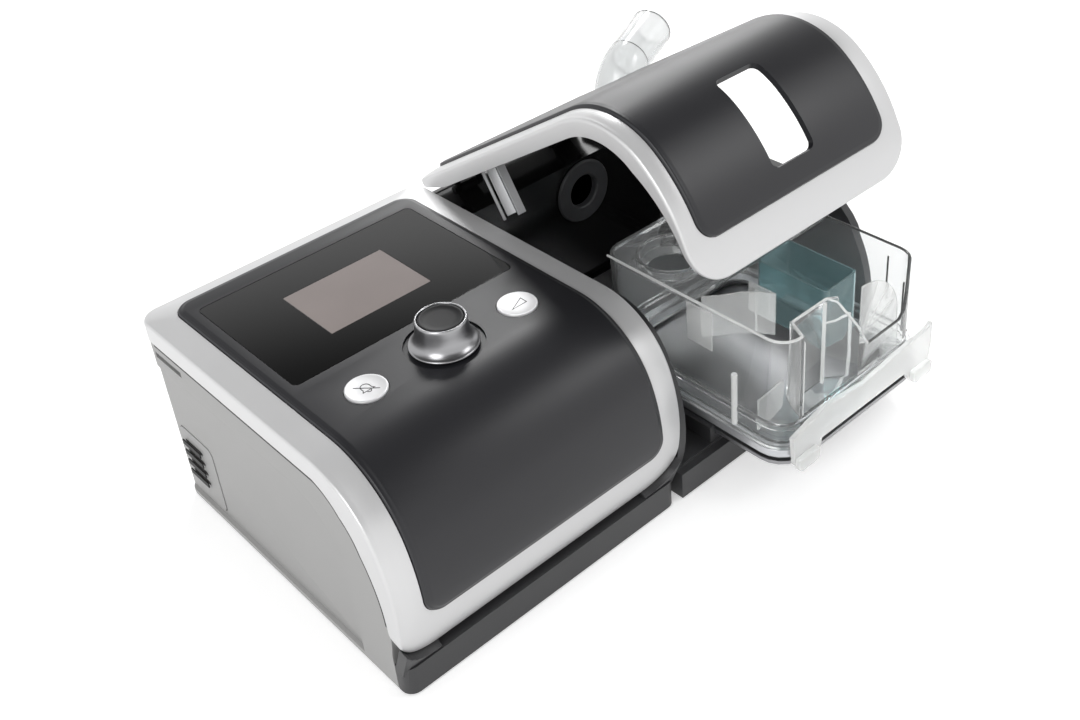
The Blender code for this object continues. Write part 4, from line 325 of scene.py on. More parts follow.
def moulded(name, colour, roughness, metallic=0.0, coat=0.0, specular=0.5, grain_size=0.0006,
            grain_depth=0.000006, shade_spread=0.06, rough_spread=0.06, mottle_size=0.03):
    """Moulded or painted surface with a fine grain and slow changes of shade and gloss."""
    look, nodes, links = new_look(name)
    shader = nodes["Principled BSDF"]
    shader.inputs["Metallic"].default_value = metallic
    shader.inputs["Coat Weight"].default_value = coat
    shader.inputs["Coat Roughness"].default_value = roughness / 3
    shader.inputs["Specular IOR Level"].default_value = specular
    place = nodes.new("ShaderNodeTexCoord")
    slow = nodes.new("ShaderNodeTexNoise")
    slow.inputs["Scale"].default_value = 1 / mottle_size
    slow.inputs["Detail"].default_value = 3
    links.new(place.outputs["Object"], slow.inputs["Vector"])
    shade = nodes.new("ShaderNodeMapRange")
    shade.inputs["To Min"].default_value = 1 - shade_spread
    shade.inputs["To Max"].default_value = 1 + shade_spread
    links.new(slow.outputs["Fac"], shade.inputs["Value"])
    tint = nodes.new("ShaderNodeVectorMath")
    tint.operation = 'SCALE'
    tint.inputs[0].default_value = colour
    links.new(shade.outputs["Result"], tint.inputs["Scale"])
    links.new(tint.outputs["Vector"], shader.inputs["Base Color"])
    gloss = nodes.new("ShaderNodeMapRange")
    gloss.inputs["To Min"].default_value = roughness - rough_spread
    gloss.inputs["To Max"].default_value = roughness + rough_spread
    fine = nodes.new("ShaderNodeTexNoise")
    fine.inputs["Scale"].default_value = 1 / grain_size
    fine.inputs["Detail"].default_value = 2
    links.new(place.outputs["Object"], fine.inputs["Vector"])
    links.new(slow.outputs["Fac"], gloss.inputs["Value"])
    links.new(gloss.outputs["Result"], shader.inputs["Roughness"])
    bump = nodes.new("ShaderNodeBump")
    bump.inputs["Distance"].default_value = grain_depth
    bump.inputs["Strength"].default_value = 1.0
    links.new(fine.outputs["Fac"], bump.inputs["Height"])
    links.new(bump.outputs["Normal"], shader.inputs["Normal"])
    return look


def brushed(name, colour, roughness, line_size, direction):
    """Turned or brushed metal with fine lines across one direction."""
    look = moulded(name, colour, roughness, metallic=1.0, grain_depth=0.000004, shade_spread=0.03)
    nodes, links = look.node_tree.nodes, look.node_tree.links
    fine = [node for node in nodes if node.type == 'TEX_NOISE'][1]
    stretch = nodes.new("ShaderNodeMapping")
    stretch.inputs["Scale"].default_value = [1 if side == direction else 0.02 for side in "xyz"]
    place = [node for node in nodes if node.type == 'TEX_COORD'][0]
    links.new(place.outputs["Object"], stretch.inputs["Vector"])
    links.new(stretch.outputs["Vector"], fine.inputs["Vector"])
    fine.inputs["Scale"].default_value = 1 / line_size
    return look


def clear(name, colour, roughness, milk=0.0):
    """Clear or milky moulded plastic with faint flow marks; its shadow stays light."""
    look, nodes, links = new_look(name)
    shader = nodes["Principled BSDF"]
    shader.inputs["Base Color"].default_value = (*colour, 1)
    shader.inputs["Transmission Weight"].default_value = 1 - milk
    shader.inputs["IOR"].default_value = PLASTIC_IOR
    place = nodes.new("ShaderNodeTexCoord")
    slow = nodes.new("ShaderNodeTexNoise")
    slow.inputs["Scale"].default_value = 1 / FLOW_MARK_SIZE
    slow.inputs["Detail"].default_value = 2
    links.new(place.outputs["Object"], slow.inputs["Vector"])
    gloss = nodes.new("ShaderNodeMapRange")
    gloss.inputs["To Min"].default_value = roughness * 0.5
    gloss.inputs["To Max"].default_value = roughness * 1.5
    links.new(slow.outputs["Fac"], gloss.inputs["Value"])
    links.new(gloss.outputs["Result"], shader.inputs["Roughness"])
    bump = nodes.new("ShaderNodeBump")
    bump.inputs["Distance"].default_value = FLOW_MARK_DEPTH
    bump.inputs["Strength"].default_value = FLOW_MARK_STRENGTH
    links.new(slow.outputs["Fac"], bump.inputs["Height"])
    links.new(bump.outputs["Normal"], shader.inputs["Normal"])
    passing = nodes.new("ShaderNodeBsdfTransparent")
    passing.inputs["Color"].default_value = (*(0.6 + 0.4 * part for part in colour), 1)
    path = nodes.new("ShaderNodeLightPath")
    mixed = nodes.new("ShaderNodeMixShader")
    links.new(path.outputs["Is Shadow Ray"], mixed.inputs["Fac"])
    links.new(shader.outputs["BSDF"], mixed.inputs[1])
    links.new(passing.outputs["BSDF"], mixed.inputs[2])
    links.new(mixed.outputs["Shader"], nodes["Material Output"].inputs["Surface"])
    return look


def make_looks():
    return {
        "satin_silver": moulded("silver_paint", (0.70, 0.70, 0.704), 0.38, 0.40, grain_size=0.0003,
                                grain_depth=0.000003, shade_spread=0.015),
        "charcoal": moulded("charcoal_paint", (0.017, 0.017, 0.020), 0.40, 0.0,
                            grain_size=0.0004, grain_depth=0.000003, rough_spread=0.03),
        "display_glass": moulded("black_glass", (0.004, 0.004, 0.004), 0.05, specular=0.6,
                                 grain_depth=0.0, rough_spread=0.01),
        "screen": moulded("screen_face", (0.27, 0.235, 0.225), 0.12, specular=0.4,
                          grain_depth=0.0),
        "brushed_knob": brushed("turned_metal", (0.38, 0.38, 0.39), 0.30, 0.00025, "z"),
        "black_plastic": moulded("black_plastic", (0.020, 0.020, 0.022), 0.42),
        "button_silver": moulded("button_paint", (0.72, 0.72, 0.73), 0.38, 0.3,
                                 grain_size=0.0003),
        "casing_grey": moulded("casing_texture", (0.372, 0.370, 0.366), 0.50,
                               grain_size=0.0005, grain_depth=0.00002),
        "base_grey": moulded("base_texture", (0.034, 0.034, 0.036), 0.46, grain_size=0.0005,
                             grain_depth=0.00002),
        "bay_black": moulded("bay_gloss", (0.005, 0.005, 0.005), 0.14, grain_size=0.002,
                             rough_spread=0.03),
        "dark_rubber": moulded("rubber", (0.035, 0.036, 0.038), 0.55, grain_size=0.0004,
                               grain_depth=0.00001),
        "steel": moulded("steel", (0.50, 0.50, 0.51), 0.30, 1.0),
        "aluminium": brushed("aluminium", (0.34, 0.34, 0.35), 0.40, 0.0003, "x"),
        "heater_foil": moulded("foil", (0.45, 0.26, 0.14), 0.40, 0.8, grain_size=0.002,
                               grain_depth=0.00004),
        "dark_plastic": moulded("dark_plastic", (0.040, 0.040, 0.043), 0.45),
        "white_plastic": moulded("white_plastic", (0.74, 0.74, 0.72), 0.40),
        "board_green": moulded("solder_mask", (0.020, 0.130, 0.060), 0.35, coat=0.3),
        "filter_foam": moulded("foam", (0.26, 0.26, 0.25), 0.90, grain_size=0.0012,
                               grain_depth=0.0004, shade_spread=0.25, mottle_size=0.002),
        "stay_grey": moulded("stay_paint", (0.50, 0.505, 0.515), 0.33, 0.3),
        "clamp_grey": moulded("clamp_paint", (0.62, 0.63, 0.65), 0.24, 0.6),
        "clear_plastic": clear("clear_plastic", (0.965, 0.975, 0.975), 0.03, milk=0.05),
        "teal_plastic": clear("teal_plastic", (0.50, 0.68, 0.70), 0.06, milk=0.08),
    }


LOOKS = make_looks()
SLOT_OF = {part["node"]: part["material_slot"] for part in frame["record"]["subparts"]}
BODY_OF = {node: body for body, nodes in frame["record"]["behaviour"]["bodies"].items()
           for node in nodes}
INK = moulded("printed_ink", (0.030, 0.030, 0.032), 0.40, grain_depth=0.0)
CAP_PLASTIC = moulded("cap_plastic", (0.010, 0.010, 0.011), 0.50, specular=0.25)
# Near-black look that paints shadow into the side seam and the filter cover's slots.
SHADOW = moulded("shadow_plastic", (0.004, 0.004, 0.004), 0.60)
FROSTED = clear("frosted_plastic", (0.93, 0.935, 0.93), 0.22, milk=0.45)
HAZY = clear("hazy_plastic", (0.86, 0.87, 0.87), 0.14, milk=0.30)
MISTY = clear("misty_plastic", (0.95, 0.955, 0.95), 0.10, milk=0.22)
# Dark clear look that paints shade on clear edges which show dark: the right part of the tub's rim, the
# right wall's ribs and the elbow's end lines.
PAINTED_SHADE_CLEAR = clear("painted_shade_clear", (0.10, 0.10, 0.10), 0.10, milk=0.5)


def piece_for(name, loops, ends, node, bevel=0.0, replaced=True, look=None):
    """A fine piece that stands for, or sits on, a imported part."""
    vertices, faces = skin(loops, ends)
    slot = SLOT_OF[node]
    return make_piece(name, vertices, faces, look or LOOKS[slot], BODY_OF[node],
                      (node,) if replaced else (), bevel)


def rod_loops(points, radius, steps=12):
    """Loops of a round bar that follows points."""
    places = [Vector(point) for point in points]
    across = (places[-1] - places[0]).orthogonal().normalized()
    loops = []
    for spot, here in enumerate(places):
        way = (places[min(spot + 1, len(places) - 1)] - places[max(spot - 1, 0)]).normalized()
        across = (across - across.dot(way) * way).normalized()
        aside = way.cross(across)
        loops.append([tuple(here + radius * (math.cos(math.tau * step / steps) * across
                                             + math.sin(math.tau * step / steps) * aside))
                      for step in range(steps)])
    return loops


def strip_loops(path, thickness, low, high):
    """Loops of a thin upright wall that follows a path seen from above."""
    left, right = [], []
    for spot, point in enumerate(path):
        here = Vector(point)
        way = Vector(path[min(spot + 1, len(path) - 1)]) - Vector(path[max(spot - 1, 0)])
        side = Vector((-way.y, way.x)).normalized() * thickness / 2
        left.append(tuple(here + side))
        right.append(tuple(here - side))
    outline = left + right[::-1]
    return stacked(((outline, low), (outline, high)))


def upright_loops(outline, front, back):
    """Loops of a flat plate from an outline seen from the front."""
    return [[(x, y, z) for x, z in outline] for y in (front, back)]


# Painted rims

RIM_FACE_STEPS = 6
RIM_ROUND_STEPS = 6
CREASE_DEPTH_SHARE = 0.55
ROUNDING_DEPTH_SHARE = 0.2
UNDERNEATH_DEPTH_SHARE = 0.9
FACE_CROWN = 0.0003


def bezel_depth(arc):
    middle = FLAT_LENGTH + FIRST_BEND_LENGTH / 2
    if arc < middle:
        return between(arc, FLAT_LENGTH, middle, 0.015, 0.0195)
    return between(arc, FIRST_BEND_END, PROFILE_LENGTH, 0.0195, 0.009)


def lid_depth(arc):
    if arc < FLAT_LENGTH:
        return between(arc, 0.006, 0.016, 0.008, 0.0125)
    return between(arc, FIRST_BEND_END, PROFILE_LENGTH, 0.0125, 0.0042)


def rim_loops(limits, opening, depth, crease_drop, crease_inset, rounding, opening_drop, thickness):
    """Ring along the profile: side band, rounded crease, sloping face and opening."""

    def fold(arc):
        return min(crease_drop, depth(arc) * CREASE_DEPTH_SHARE)

    def soft(arc):
        return min(rounding, depth(arc) * ROUNDING_DEPTH_SHARE)

    def underneath(arc):
        return min(fold(arc) + thickness, depth(arc) * UNDERNEATH_DEPTH_SHARE)

    def round_drop(share):
        curve = (1 - math.sin(share * math.pi / 2))
        return lambda arc: fold(arc) - soft(arc) / 2 + curve * soft(arc) * 1.5

    rows = [inset_row(limits, 0, depth)]
    for step in range(RIM_ROUND_STEPS + 1):
        share = step / RIM_ROUND_STEPS
        rows.append(inset_row(limits, crease_inset * (1 - math.cos(share * math.pi / 2)),
                              round_drop(share)))
    crease = rows[-1]
    edge = (*opening, opening_drop)
    for step in range(1, RIM_FACE_STEPS):
        share = step / RIM_FACE_STEPS

        def face_drop(arc, share=share):
            level = crease[6](arc) + (opening_drop - crease[6](arc)) * share
            return level - FACE_CROWN * math.sin(math.pi * share)

        rows.append(mixed_row(crease, edge, share, face_drop))
    rows.append((*opening, opening_drop))
    rows.append((*opening, opening_drop + thickness))
    rows.append(inset_row(limits, crease_inset + thickness, underneath))
    rows.append(inset_row(limits, thickness, lambda arc: (underneath(arc) + depth(arc)) / 2))
    rows.append(inset_row(limits, thickness, depth))
    return bent_loops(rows)


def cushion_loops(limits, underside, edge_drop, shoulder_rise, shoulder, top_inset, top_rise):
    """Panel with a rounded edge, a shoulder and a soft rise to its top."""
    rows = [inset_row(limits, 0, underside), inset_row(limits, 0, edge_drop)]
    steps = 6
    for step in range(1, steps + 1):
        turn = math.pi / 2 * step / steps
        rows.append(inset_row(limits, shoulder * (1 - math.cos(turn)),
                              edge_drop - (edge_drop + shoulder_rise) * math.sin(turn)))
    for step in range(1, steps + 1):
        share = step / steps
        smooth = share * share * (3 - 2 * share)
        rows.append(inset_row(limits, shoulder + (top_inset - shoulder) * share,
                              -shoulder_rise - (top_rise - shoulder_rise) * smooth))
    return bent_loops(rows)


def build_main_shell():
    rim_limits = (0, MAIN_WIDTH, 0, PROFILE_LENGTH, 0.010, 0.022)
    opening = (0.0125, MAIN_WIDTH - 0.0155, 0.0125, PROFILE_LENGTH - 0.0315, 0.010, 0.010)
    loops = rim_loops(rim_limits, opening, bezel_depth, 0.0048, 0.0016, 0.0013, 0.0012, 0.0025)
    piece_for("bezel_rim", loops, "ring", "top_bezel", 0.0002)
    limits = (opening[0] + GAP, opening[1] - GAP, opening[2] + GAP, opening[3] - GAP,
              0.010 - GAP, 0.010 - GAP)
    vertices, faces = skin(cushion_loops(limits, 0.003, 0.0014, 0.0001, 0.0011, 0.0036, 0.0008),
                           "strips")
    panel = make_piece("panel_tool", vertices, faces, None, None)
    top = PANEL_TOP
    pocket = top - GLASS_DROP - GLASS_THICKNESS - GAP
    glass = plan_outline(GLASS_LEFT - GAP, GLASS_RIGHT + GAP, GLASS_FRONT - GAP, GLASS_BACK + GAP,
                         GLASS_RADIUS + GAP, GLASS_RADIUS + GAP)
    cutters = [
        tool_from(stacked(((glass, pocket), (glass, top + OVERRUN)))),
        tool_from(block((0.054, 0.105, top - OVERRUN), (0.111, 0.147, top + OVERRUN))),
        tool_from(turned_loops((KNOB[0], KNOB[1], 0), ((0.019, top - 0.0012),
                                                           (0.019, top + OVERRUN)))),
        tool_from(turned_loops((KNOB[0], KNOB[1], 0), ((0.0045, top - OVERRUN),
                                                           (0.0045, top + OVERRUN)))),
    ]
    for x, y in (MUTE, RAMP):
        cutters.append(tool_from(turned_loops((x, y, 0), ((0.01015, top - OVERRUN),
                                                               (0.01015, top + OVERRUN)))))
    for cutter in cutters:
        combine(panel, cutter)
    panel.name = "panel_cushion"
    panel.data.transform(Matrix.Translation(ORIGIN))
    settle_piece(panel, LOOKS["charcoal"], "main", ("control_panel",), 0.00025,
                 FINE_BEVEL_SEGMENTS)


GLASS_LEFT = 0.0205
GLASS_RIGHT = 0.1455
GLASS_FRONT = 0.0840
GLASS_BACK = 0.1700
GLASS_RADIUS = 0.0030
GLASS_THICKNESS = 0.0010
GLASS_DROP = 0.00005
KNOB = (0.0845, 0.0600)
MUTE = (0.0410, 0.0590)
RAMP = (0.1262, 0.0580)
PANEL_TOP = UNIT_HEIGHT + 0.0008


def build_display():
    top = PANEL_TOP - GLASS_DROP
    outline = plan_outline(GLASS_LEFT, GLASS_RIGHT, GLASS_FRONT, GLASS_BACK, GLASS_RADIUS,
                           GLASS_RADIUS)
    vertices, faces = skin(stacked(((outline, top - GLASS_THICKNESS), (outline, top))), "flat")
    glass = make_piece("glass_tool", vertices, faces, None, None)
    combine(glass, tool_from(block((0.0538, 0.1048, top - 0.0004), (0.1112, 0.1472, top + OVERRUN))))
    glass.name = "display_cover"
    glass.data.transform(Matrix.Translation(ORIGIN))
    settle_piece(glass, LOOKS["display_glass"], "main", ("display_window",),
                 0.00015)
    face = plan_outline(0.0539, 0.1111, 0.1049, 0.1471, 0.0004, 0.0004, 4)
    piece_for("screen_face", stacked(((face, top - 0.00035), (face, top - 0.00001))), "flat",
              "display_module", 0.00003, False)


def smooth_profile(points, steps):
    """Finer profile through the points of a coarse one."""
    fine = []
    for spot in range(len(points) - 1):
        before = Vector(points[max(spot - 1, 0)])
        start, end = Vector(points[spot]), Vector(points[spot + 1])
        after = Vector(points[min(spot + 2, len(points) - 1)])
        for step in range(steps):
            t = step / steps
            place = 0.5 * (2 * start + (end - before) * t
                           + (2 * before - 5 * start + 4 * end - after) * t * t
                           + (3 * start - before - 3 * end + after) * t ** 3)
            fine.append((place.x, place.y))
    fine.append(tuple(points[-1]))
    return fine


def build_knob():
    base, height, radius = 0.1188, 0.0144, 0.0165
    shares = ((0.97, 0.0), (1.0, 0.03), (0.995, 0.085), (0.92, 0.15), (0.84, 0.26), (0.785, 0.42),
              (0.755, 0.62), (0.74, 0.84), (0.73, 0.95), (0.705, 1.0))
    outer = [(across * radius, base + up * height) for across, up in smooth_profile(shares, 4)]
    pocket = base + height - 0.0022
    inner = [(0.0112, base + height), (0.0109, base + height - 0.0003), (0.0109, pocket),
             (0.0033, pocket), (0.0033, base)]
    piece_for("knob_body", turned_loops((*KNOB, 0), outer + inner), "ring", "knob_skirt",
              0.00012)
    cap = pocket + GAP
    dish = [(0.0106, cap), (0.0106, cap + 0.0013), (0.0104, cap + 0.0016), (0.0101, cap + 0.0017),
            (0.0092, cap + 0.0017), (0.0086, cap + 0.0014), (0.0060, cap + 0.00125),
            (0.0030, cap + 0.0012)]
    piece_for("knob_dish", turned_loops((*KNOB, 0), dish), "flat", "knob_cap",
              look=CAP_PLASTIC)


def stroke(name, middle, points, width, level, thickness, look, body, closed=False):
    """Raised line of even width through points around a middle."""
    count = len(points)
    left, right = [], []
    for spot, point in enumerate(points):
        here = Vector(point)
        before = Vector(points[spot - 1]) if closed or spot else here
        after = Vector(points[(spot + 1) % count]) if closed or spot < count - 1 else here
        first = (here - before).normalized() if (here - before).length else None
        last = (after - here).normalized() if (after - here).length else None
        first, last = first or last, last or first
        side = Vector((-(first.y + last.y), first.x + last.x)).normalized()
        reach = width / 2 / max(side.dot(Vector((-first.y, first.x))), 0.35)
        left.append(here + side * reach)
        right.append(here - side * reach)
    vertices = [(middle[0] + p.x, middle[1] + p.y, level + up)
                for up in (0, thickness) for row in (left, right) for p in row]
    faces = []
    for spot in range(count if closed else count - 1):
        after = (spot + 1) % count
        a, b, c, d = spot, after, count + after, count + spot
        faces += [(a, b, c, d), tuple(2 * count + v for v in (a, d, c, b)),
                  (a, 2 * count + a, 2 * count + b, b), (d, c, 2 * count + c, 2 * count + d)]
    if not closed:
        for spot in (0, count - 1):
            faces.append((spot, spot + count, spot + 3 * count, spot + 2 * count))
    return make_piece(name, vertices, faces, look, body)


def build_buttons():
    flange = UNIT_HEIGHT - 0.003 - GAP
    top = PANEL_TOP + 0.0009
    for name, (x, y) in (("mute", MUTE), ("ramp", RAMP)):
        profile = [(0.0025, flange - 0.0013 - 0.004), (0.0025, flange - 0.0013),
                   (0.0115, flange - 0.0013), (0.0115, flange), (0.0098, flange)]
        for step in range(7):
            turn = math.pi / 2 * step / 6
            profile.append((0.0098 - 0.0006 * (1 - math.cos(turn)), top - 0.0006 * (1 - math.sin(turn))))
        profile += [(0.0086, top - 0.00005), (0.0080, top - 0.0002), (0.0040, top - 0.0003)]
        piece_for(name + "_disc", turned_loops((x, y, 0), profile), "flat", name + "_button")
    level = top - 0.00028
    line = 0.00042
    bell = [(-0.0030, -0.0020), (0.0030, -0.0020), (0.0022, -0.0008), (0.0022, 0.0010)]
    bell += [(0.0022 * math.cos(angle), 0.0010 + 0.0020 * math.sin(angle))
             for angle in (math.pi * step / 8 for step in range(1, 8))]
    bell += [(-0.0022, 0.0010), (-0.0022, -0.0008)]
    stroke("bell_icon", MUTE, bell, line, level, 0.00006, INK, "mute", True)
    clapper = [(0.0010 * math.cos(angle), -0.0023 + 0.0010 * math.sin(angle))
               for angle in (math.pi + math.pi * step / 6 for step in range(7))]
    stroke("bell_clapper", MUTE, clapper, line, level, 0.00006, INK, "mute")
    stroke("bell_cross", MUTE, [(-0.0042, 0.0040), (0.0042, -0.0044)], line, level, 0.00009, INK,
           "mute")
    ramp = [(-0.0046, -0.0020), (0.0040, -0.0020), (0.0040, 0.0024)]
    stroke("ramp_icon", RAMP, ramp, line, level, 0.00006, INK, "ramp", True)


def build_lid():
    limits = (LID_LEFT, LID_RIGHT, 0, PROFILE_LENGTH, 0.008, 0.022)
    opening = (LID_LEFT + 0.0080, LID_RIGHT - 0.0145, 0.0090, PROFILE_LENGTH - 0.0220, 0.011, 0.011)
    loops = rim_loops(limits, opening, lid_depth, 0.0040, 0.0016, 0.0013, 0.0016, 0.0020)
    inner = (opening[0] + GAP, opening[1] - GAP, opening[2] + GAP, opening[3] - GAP,
             0.011 - GAP, 0.011 - GAP)
    cushion = cushion_loops(inner, 0.0030, 0.0018, 0.0001, 0.0011, 0.0036, 0.00034)
    window = bent_loops([(0.2340, 0.2635, 0.1940, 0.2450, 0.0040, 0.0040, drop)
                         for drop in (0.0125, -0.0125)])
    for name, shape, ends, node in (("lid_rim", loops, "ring", "lid_frame"),
                                    ("lid_cushion", cushion, "strips", "lid_panel")):
        vertices, faces = skin(shape, ends)
        piece = make_piece(name, vertices, faces, None, None)
        combine(piece, tool_from(block((0.2885, 0.1485, 0.1030),
                                       (LID_RIGHT + OVERRUN, UNIT_DEPTH + OVERRUN, 0.138))))
        if node == "lid_panel":
            combine(piece, tool_from(window, "strips"))
        piece.data.transform(Matrix.Translation(ORIGIN) @ OPEN_LID)
        slot = SLOT_OF[node]
        settle_piece(piece, LOOKS[slot], "lid", (node,), 0.0003, FINE_BEVEL_SEGMENTS)


# Clear chamber: rods, thin walls and plates, each with its look and places

RIM_Z = 0.0942
FRONT_DIP = ((0.2567, 0.0920), (0.2730, 0.0612), (0.2990, 0.0617), (0.3040, 0.0660),
             (0.3085, 0.0940), (0.3085, 0.1100), (0.2567, 0.1100))
FRONT_DIP_DEPTHS = (-0.0400, -0.0275)
CHAMBER_CORNER_STEPS = 8
FRONT_PLATE = ((0.2060, 0.0440), (0.2300, 0.0500), (0.2620, 0.0460), (0.3000, 0.0500),
               (0.3120, 0.0500), (0.3195, 0.0530), (0.3195, 0.0400), (0.3176, 0.0250),
               (0.3160, 0.0228), (0.3030, 0.0228), (0.2970, 0.0310), (0.2290, 0.0310),
               (0.2280, 0.0250), (0.2240, 0.0228), (0.2120, 0.0228), (0.2080, 0.0260))
FRONT_PLATE_DEPTHS = (-0.0430, -0.0401)
FINGER_TABS = ((0.2082, 0.2240), (0.3018, 0.3176))
FAN_CENTRE = (0.2720, 0.0620)
FAN_RADIUS = 0.0320
FAN_DEPTHS = (-0.0310, -0.0302)
FAN_FOOT_Z = 0.0245
FAN_STEPS = 24


def corner_arc(x, y, start, end, radius=0.0111, steps=CHAMBER_CORNER_STEPS):
    """Points of a rounded corner on the chamber's rim."""
    return [(x + radius * math.cos(angle), y + radius * math.sin(angle), RIM_Z)
            for angle in (math.radians(start + (end - start) * step / steps)
                          for step in range(steps + 1))]


def build_chamber_details():
    tub = refined("chamber_tub", LOOKS["clear_plastic"], "chamber", 0.0004,
                  tools=(tool_from(upright_loops(FRONT_DIP, *FRONT_DIP_DEPTHS)),))
    tub.name = "chamber_tub_fine"
    # The tub's top rim is one bead in two looks: milky white along the left and front left, a painted
    # highlight, and dark along the front right and right, painted shade.
    rim_highlight_points = ([(0.2084, 0.0850, RIM_Z), (0.2084, 0.0400, RIM_Z)]
                  + corner_arc(0.2195, -0.0240, 180, 270)
                  + [(0.2209, -0.0350, RIM_Z), (0.2262, -0.0243, RIM_Z), (0.2275, -0.0241, RIM_Z),
                     (0.2515, -0.0241, RIM_Z), (0.2528, -0.0243, RIM_Z), (0.2567, -0.0276, 0.0917),
                     (0.2650, -0.0342, 0.0762), (0.2710, -0.0351, 0.0645), (0.2732, -0.0351, 0.0614)])
    rim_shade_points = ([(0.2735, -0.0351, 0.0612), (0.2990, -0.0351, 0.0617), (0.3040, -0.0346, 0.0660),
                 (0.3065, -0.0336, 0.0800), (0.3084, -0.0328, RIM_Z - 0.0004)]
                + corner_arc(0.3020, -0.0240, -50, 0) + [(0.3131, 0.0850, RIM_Z)])
    rods = (
        ("rim_painted_highlight", FROSTED, 0.00065, rim_highlight_points), ("rim_painted_shade", PAINTED_SHADE_CLEAR, 0.00055, rim_shade_points),
        ("pocket_bar", FROSTED, 0.0010, ((0.2490, -0.0260, 0.0450), (0.2490, -0.0260, RIM_Z))),
        ("inner_post", FROSTED, 0.0010, ((0.2640, -0.0272, 0.0245), (0.2675, -0.0272, 0.0790))),
        ("post_tie", FROSTED, 0.0007, ((0.2500, -0.0236, 0.0800), (0.2675, -0.0270, 0.0780))),
        ("inner_rib_left", MISTY, 0.0006, ((0.2388, 0.0090, 0.0660), (0.2388, 0.0090, 0.0920))),
        ("inner_rib_right", MISTY, 0.0006, ((0.2505, 0.0100, 0.0660), (0.2505, 0.0100, 0.0840))),
        # The ribs on the right wall take the dark look: painted shade.
        ("wall_rib_front", PAINTED_SHADE_CLEAR, 0.0005, ((0.3118, -0.0178, 0.0600), (0.3118, -0.0178, 0.0870))),
        ("wall_rib_back", PAINTED_SHADE_CLEAR, 0.0005, ((0.3060, -0.0322, 0.0500), (0.3060, -0.0322, 0.0800))),
        ("fan_spoke_low", MISTY, 0.0004, ((0.2730, -0.0313, 0.0624), (0.3010, -0.0313, 0.0740))),
        ("fan_spoke_middle", MISTY, 0.0004, ((0.2730, -0.0313, 0.0630), (0.2940, -0.0313, 0.0840))),
        ("fan_spoke_high", MISTY, 0.0004, ((0.2724, -0.0313, 0.0630), (0.2840, -0.0313, 0.0910))),
        ("level_peg", FROSTED, 0.0016, ((0.2055, -0.0057, 0.0338), (0.2055, -0.0057, 0.0345),
                                       (0.2055, -0.0057, 0.0640), (0.2055, -0.0057, 0.0650))),
    )
    for name, look, radius, points in rods:
        piece_for(name, rod_loops(points, radius), "flat", "chamber_tub", 0.0001, False, look=look)
    strips = (
        ("pocket_side", FROSTED, 0.0006, 0.0452, 0.0900, ((0.2222, -0.0358), (0.2270, -0.0262))),
        ("inner_baffle", MISTY, 0.0009, 0.0660, 0.0915,
         ((0.2160, 0.0255), (0.2230, 0.0193), (0.2320, 0.0135), (0.2388, 0.0060), (0.2426, -0.0004))),
        ("second_baffle", MISTY, 0.0009, 0.0660, 0.0840, ((0.2505, 0.0240), (0.2505, 0.0060))),
        ("wall_tab", MISTY, 0.0007, 0.0700, 0.0930, ((0.2070, 0.0100), (0.2070, 0.0270))),
        ("corner_fin", MISTY, 0.0010, 0.0345, 0.0530, ((0.2094, -0.0182), (0.2278, -0.0168))),
    )
    for name, look, thickness, low, high, path in strips:
        piece_for(name, strip_loops(path, thickness, low, high), "flat", "chamber_tub", 0.0002,
                  False, look=look)
    middle_x, middle_z = FAN_CENTRE
    fan = [(middle_x, FAN_FOOT_Z), (middle_x + FAN_RADIUS, FAN_FOOT_Z)]
    fan += [(middle_x + FAN_RADIUS * math.cos(angle), middle_z + FAN_RADIUS * math.sin(angle))
            for angle in (math.pi / 2 * step / FAN_STEPS for step in range(FAN_STEPS + 1))]
    piece_for("fan_baffle", upright_loops(fan, *FAN_DEPTHS), "flat", "chamber_tub", 0.0002, False,
              look=MISTY)
    piece_for("front_plate", upright_loops(FRONT_PLATE, *FRONT_PLATE_DEPTHS), "flat",
              "chamber_grip", 0.0006, look=FROSTED)
    for side, (left, right) in zip(("left", "right"), FINGER_TABS):
        outline = plan_outline(left, right, 0.0226, 0.0308, 0.0030, 0.0015, 6)
        piece_for("finger_tab_" + side, upright_loops(outline, -0.0459, -0.0428), "flat",
                  "chamber_grip", 0.0006, False, look=FROSTED)


# Outlet elbow

ELBOW_FOOT = (0.3105, 0.1780)
ELBOW_UPRIGHT = ((0.1050, 0.0107), (0.1163, 0.0107), (0.1163, 0.0130), (0.1186, 0.0130),
                 (0.1196, 0.0146), (0.1212, 0.0155))
ELBOW_WALL = 0.0015
ELBOW_TUBE_RADIUS = 0.0128
ELBOW_BEND_RADIUS = 0.0165
ELBOW_BEND_STEPS = 24
ELBOW_MOUTH_REACH = 0.0320
ELBOW_AZIMUTH = math.radians(18)
ELBOW_RISE = math.radians(13)
ELBOW_RING_RADIUS = 0.00038
ELBOW_RING_INSET = 0.00025
ELBOW_RING_BACK = 0.0009


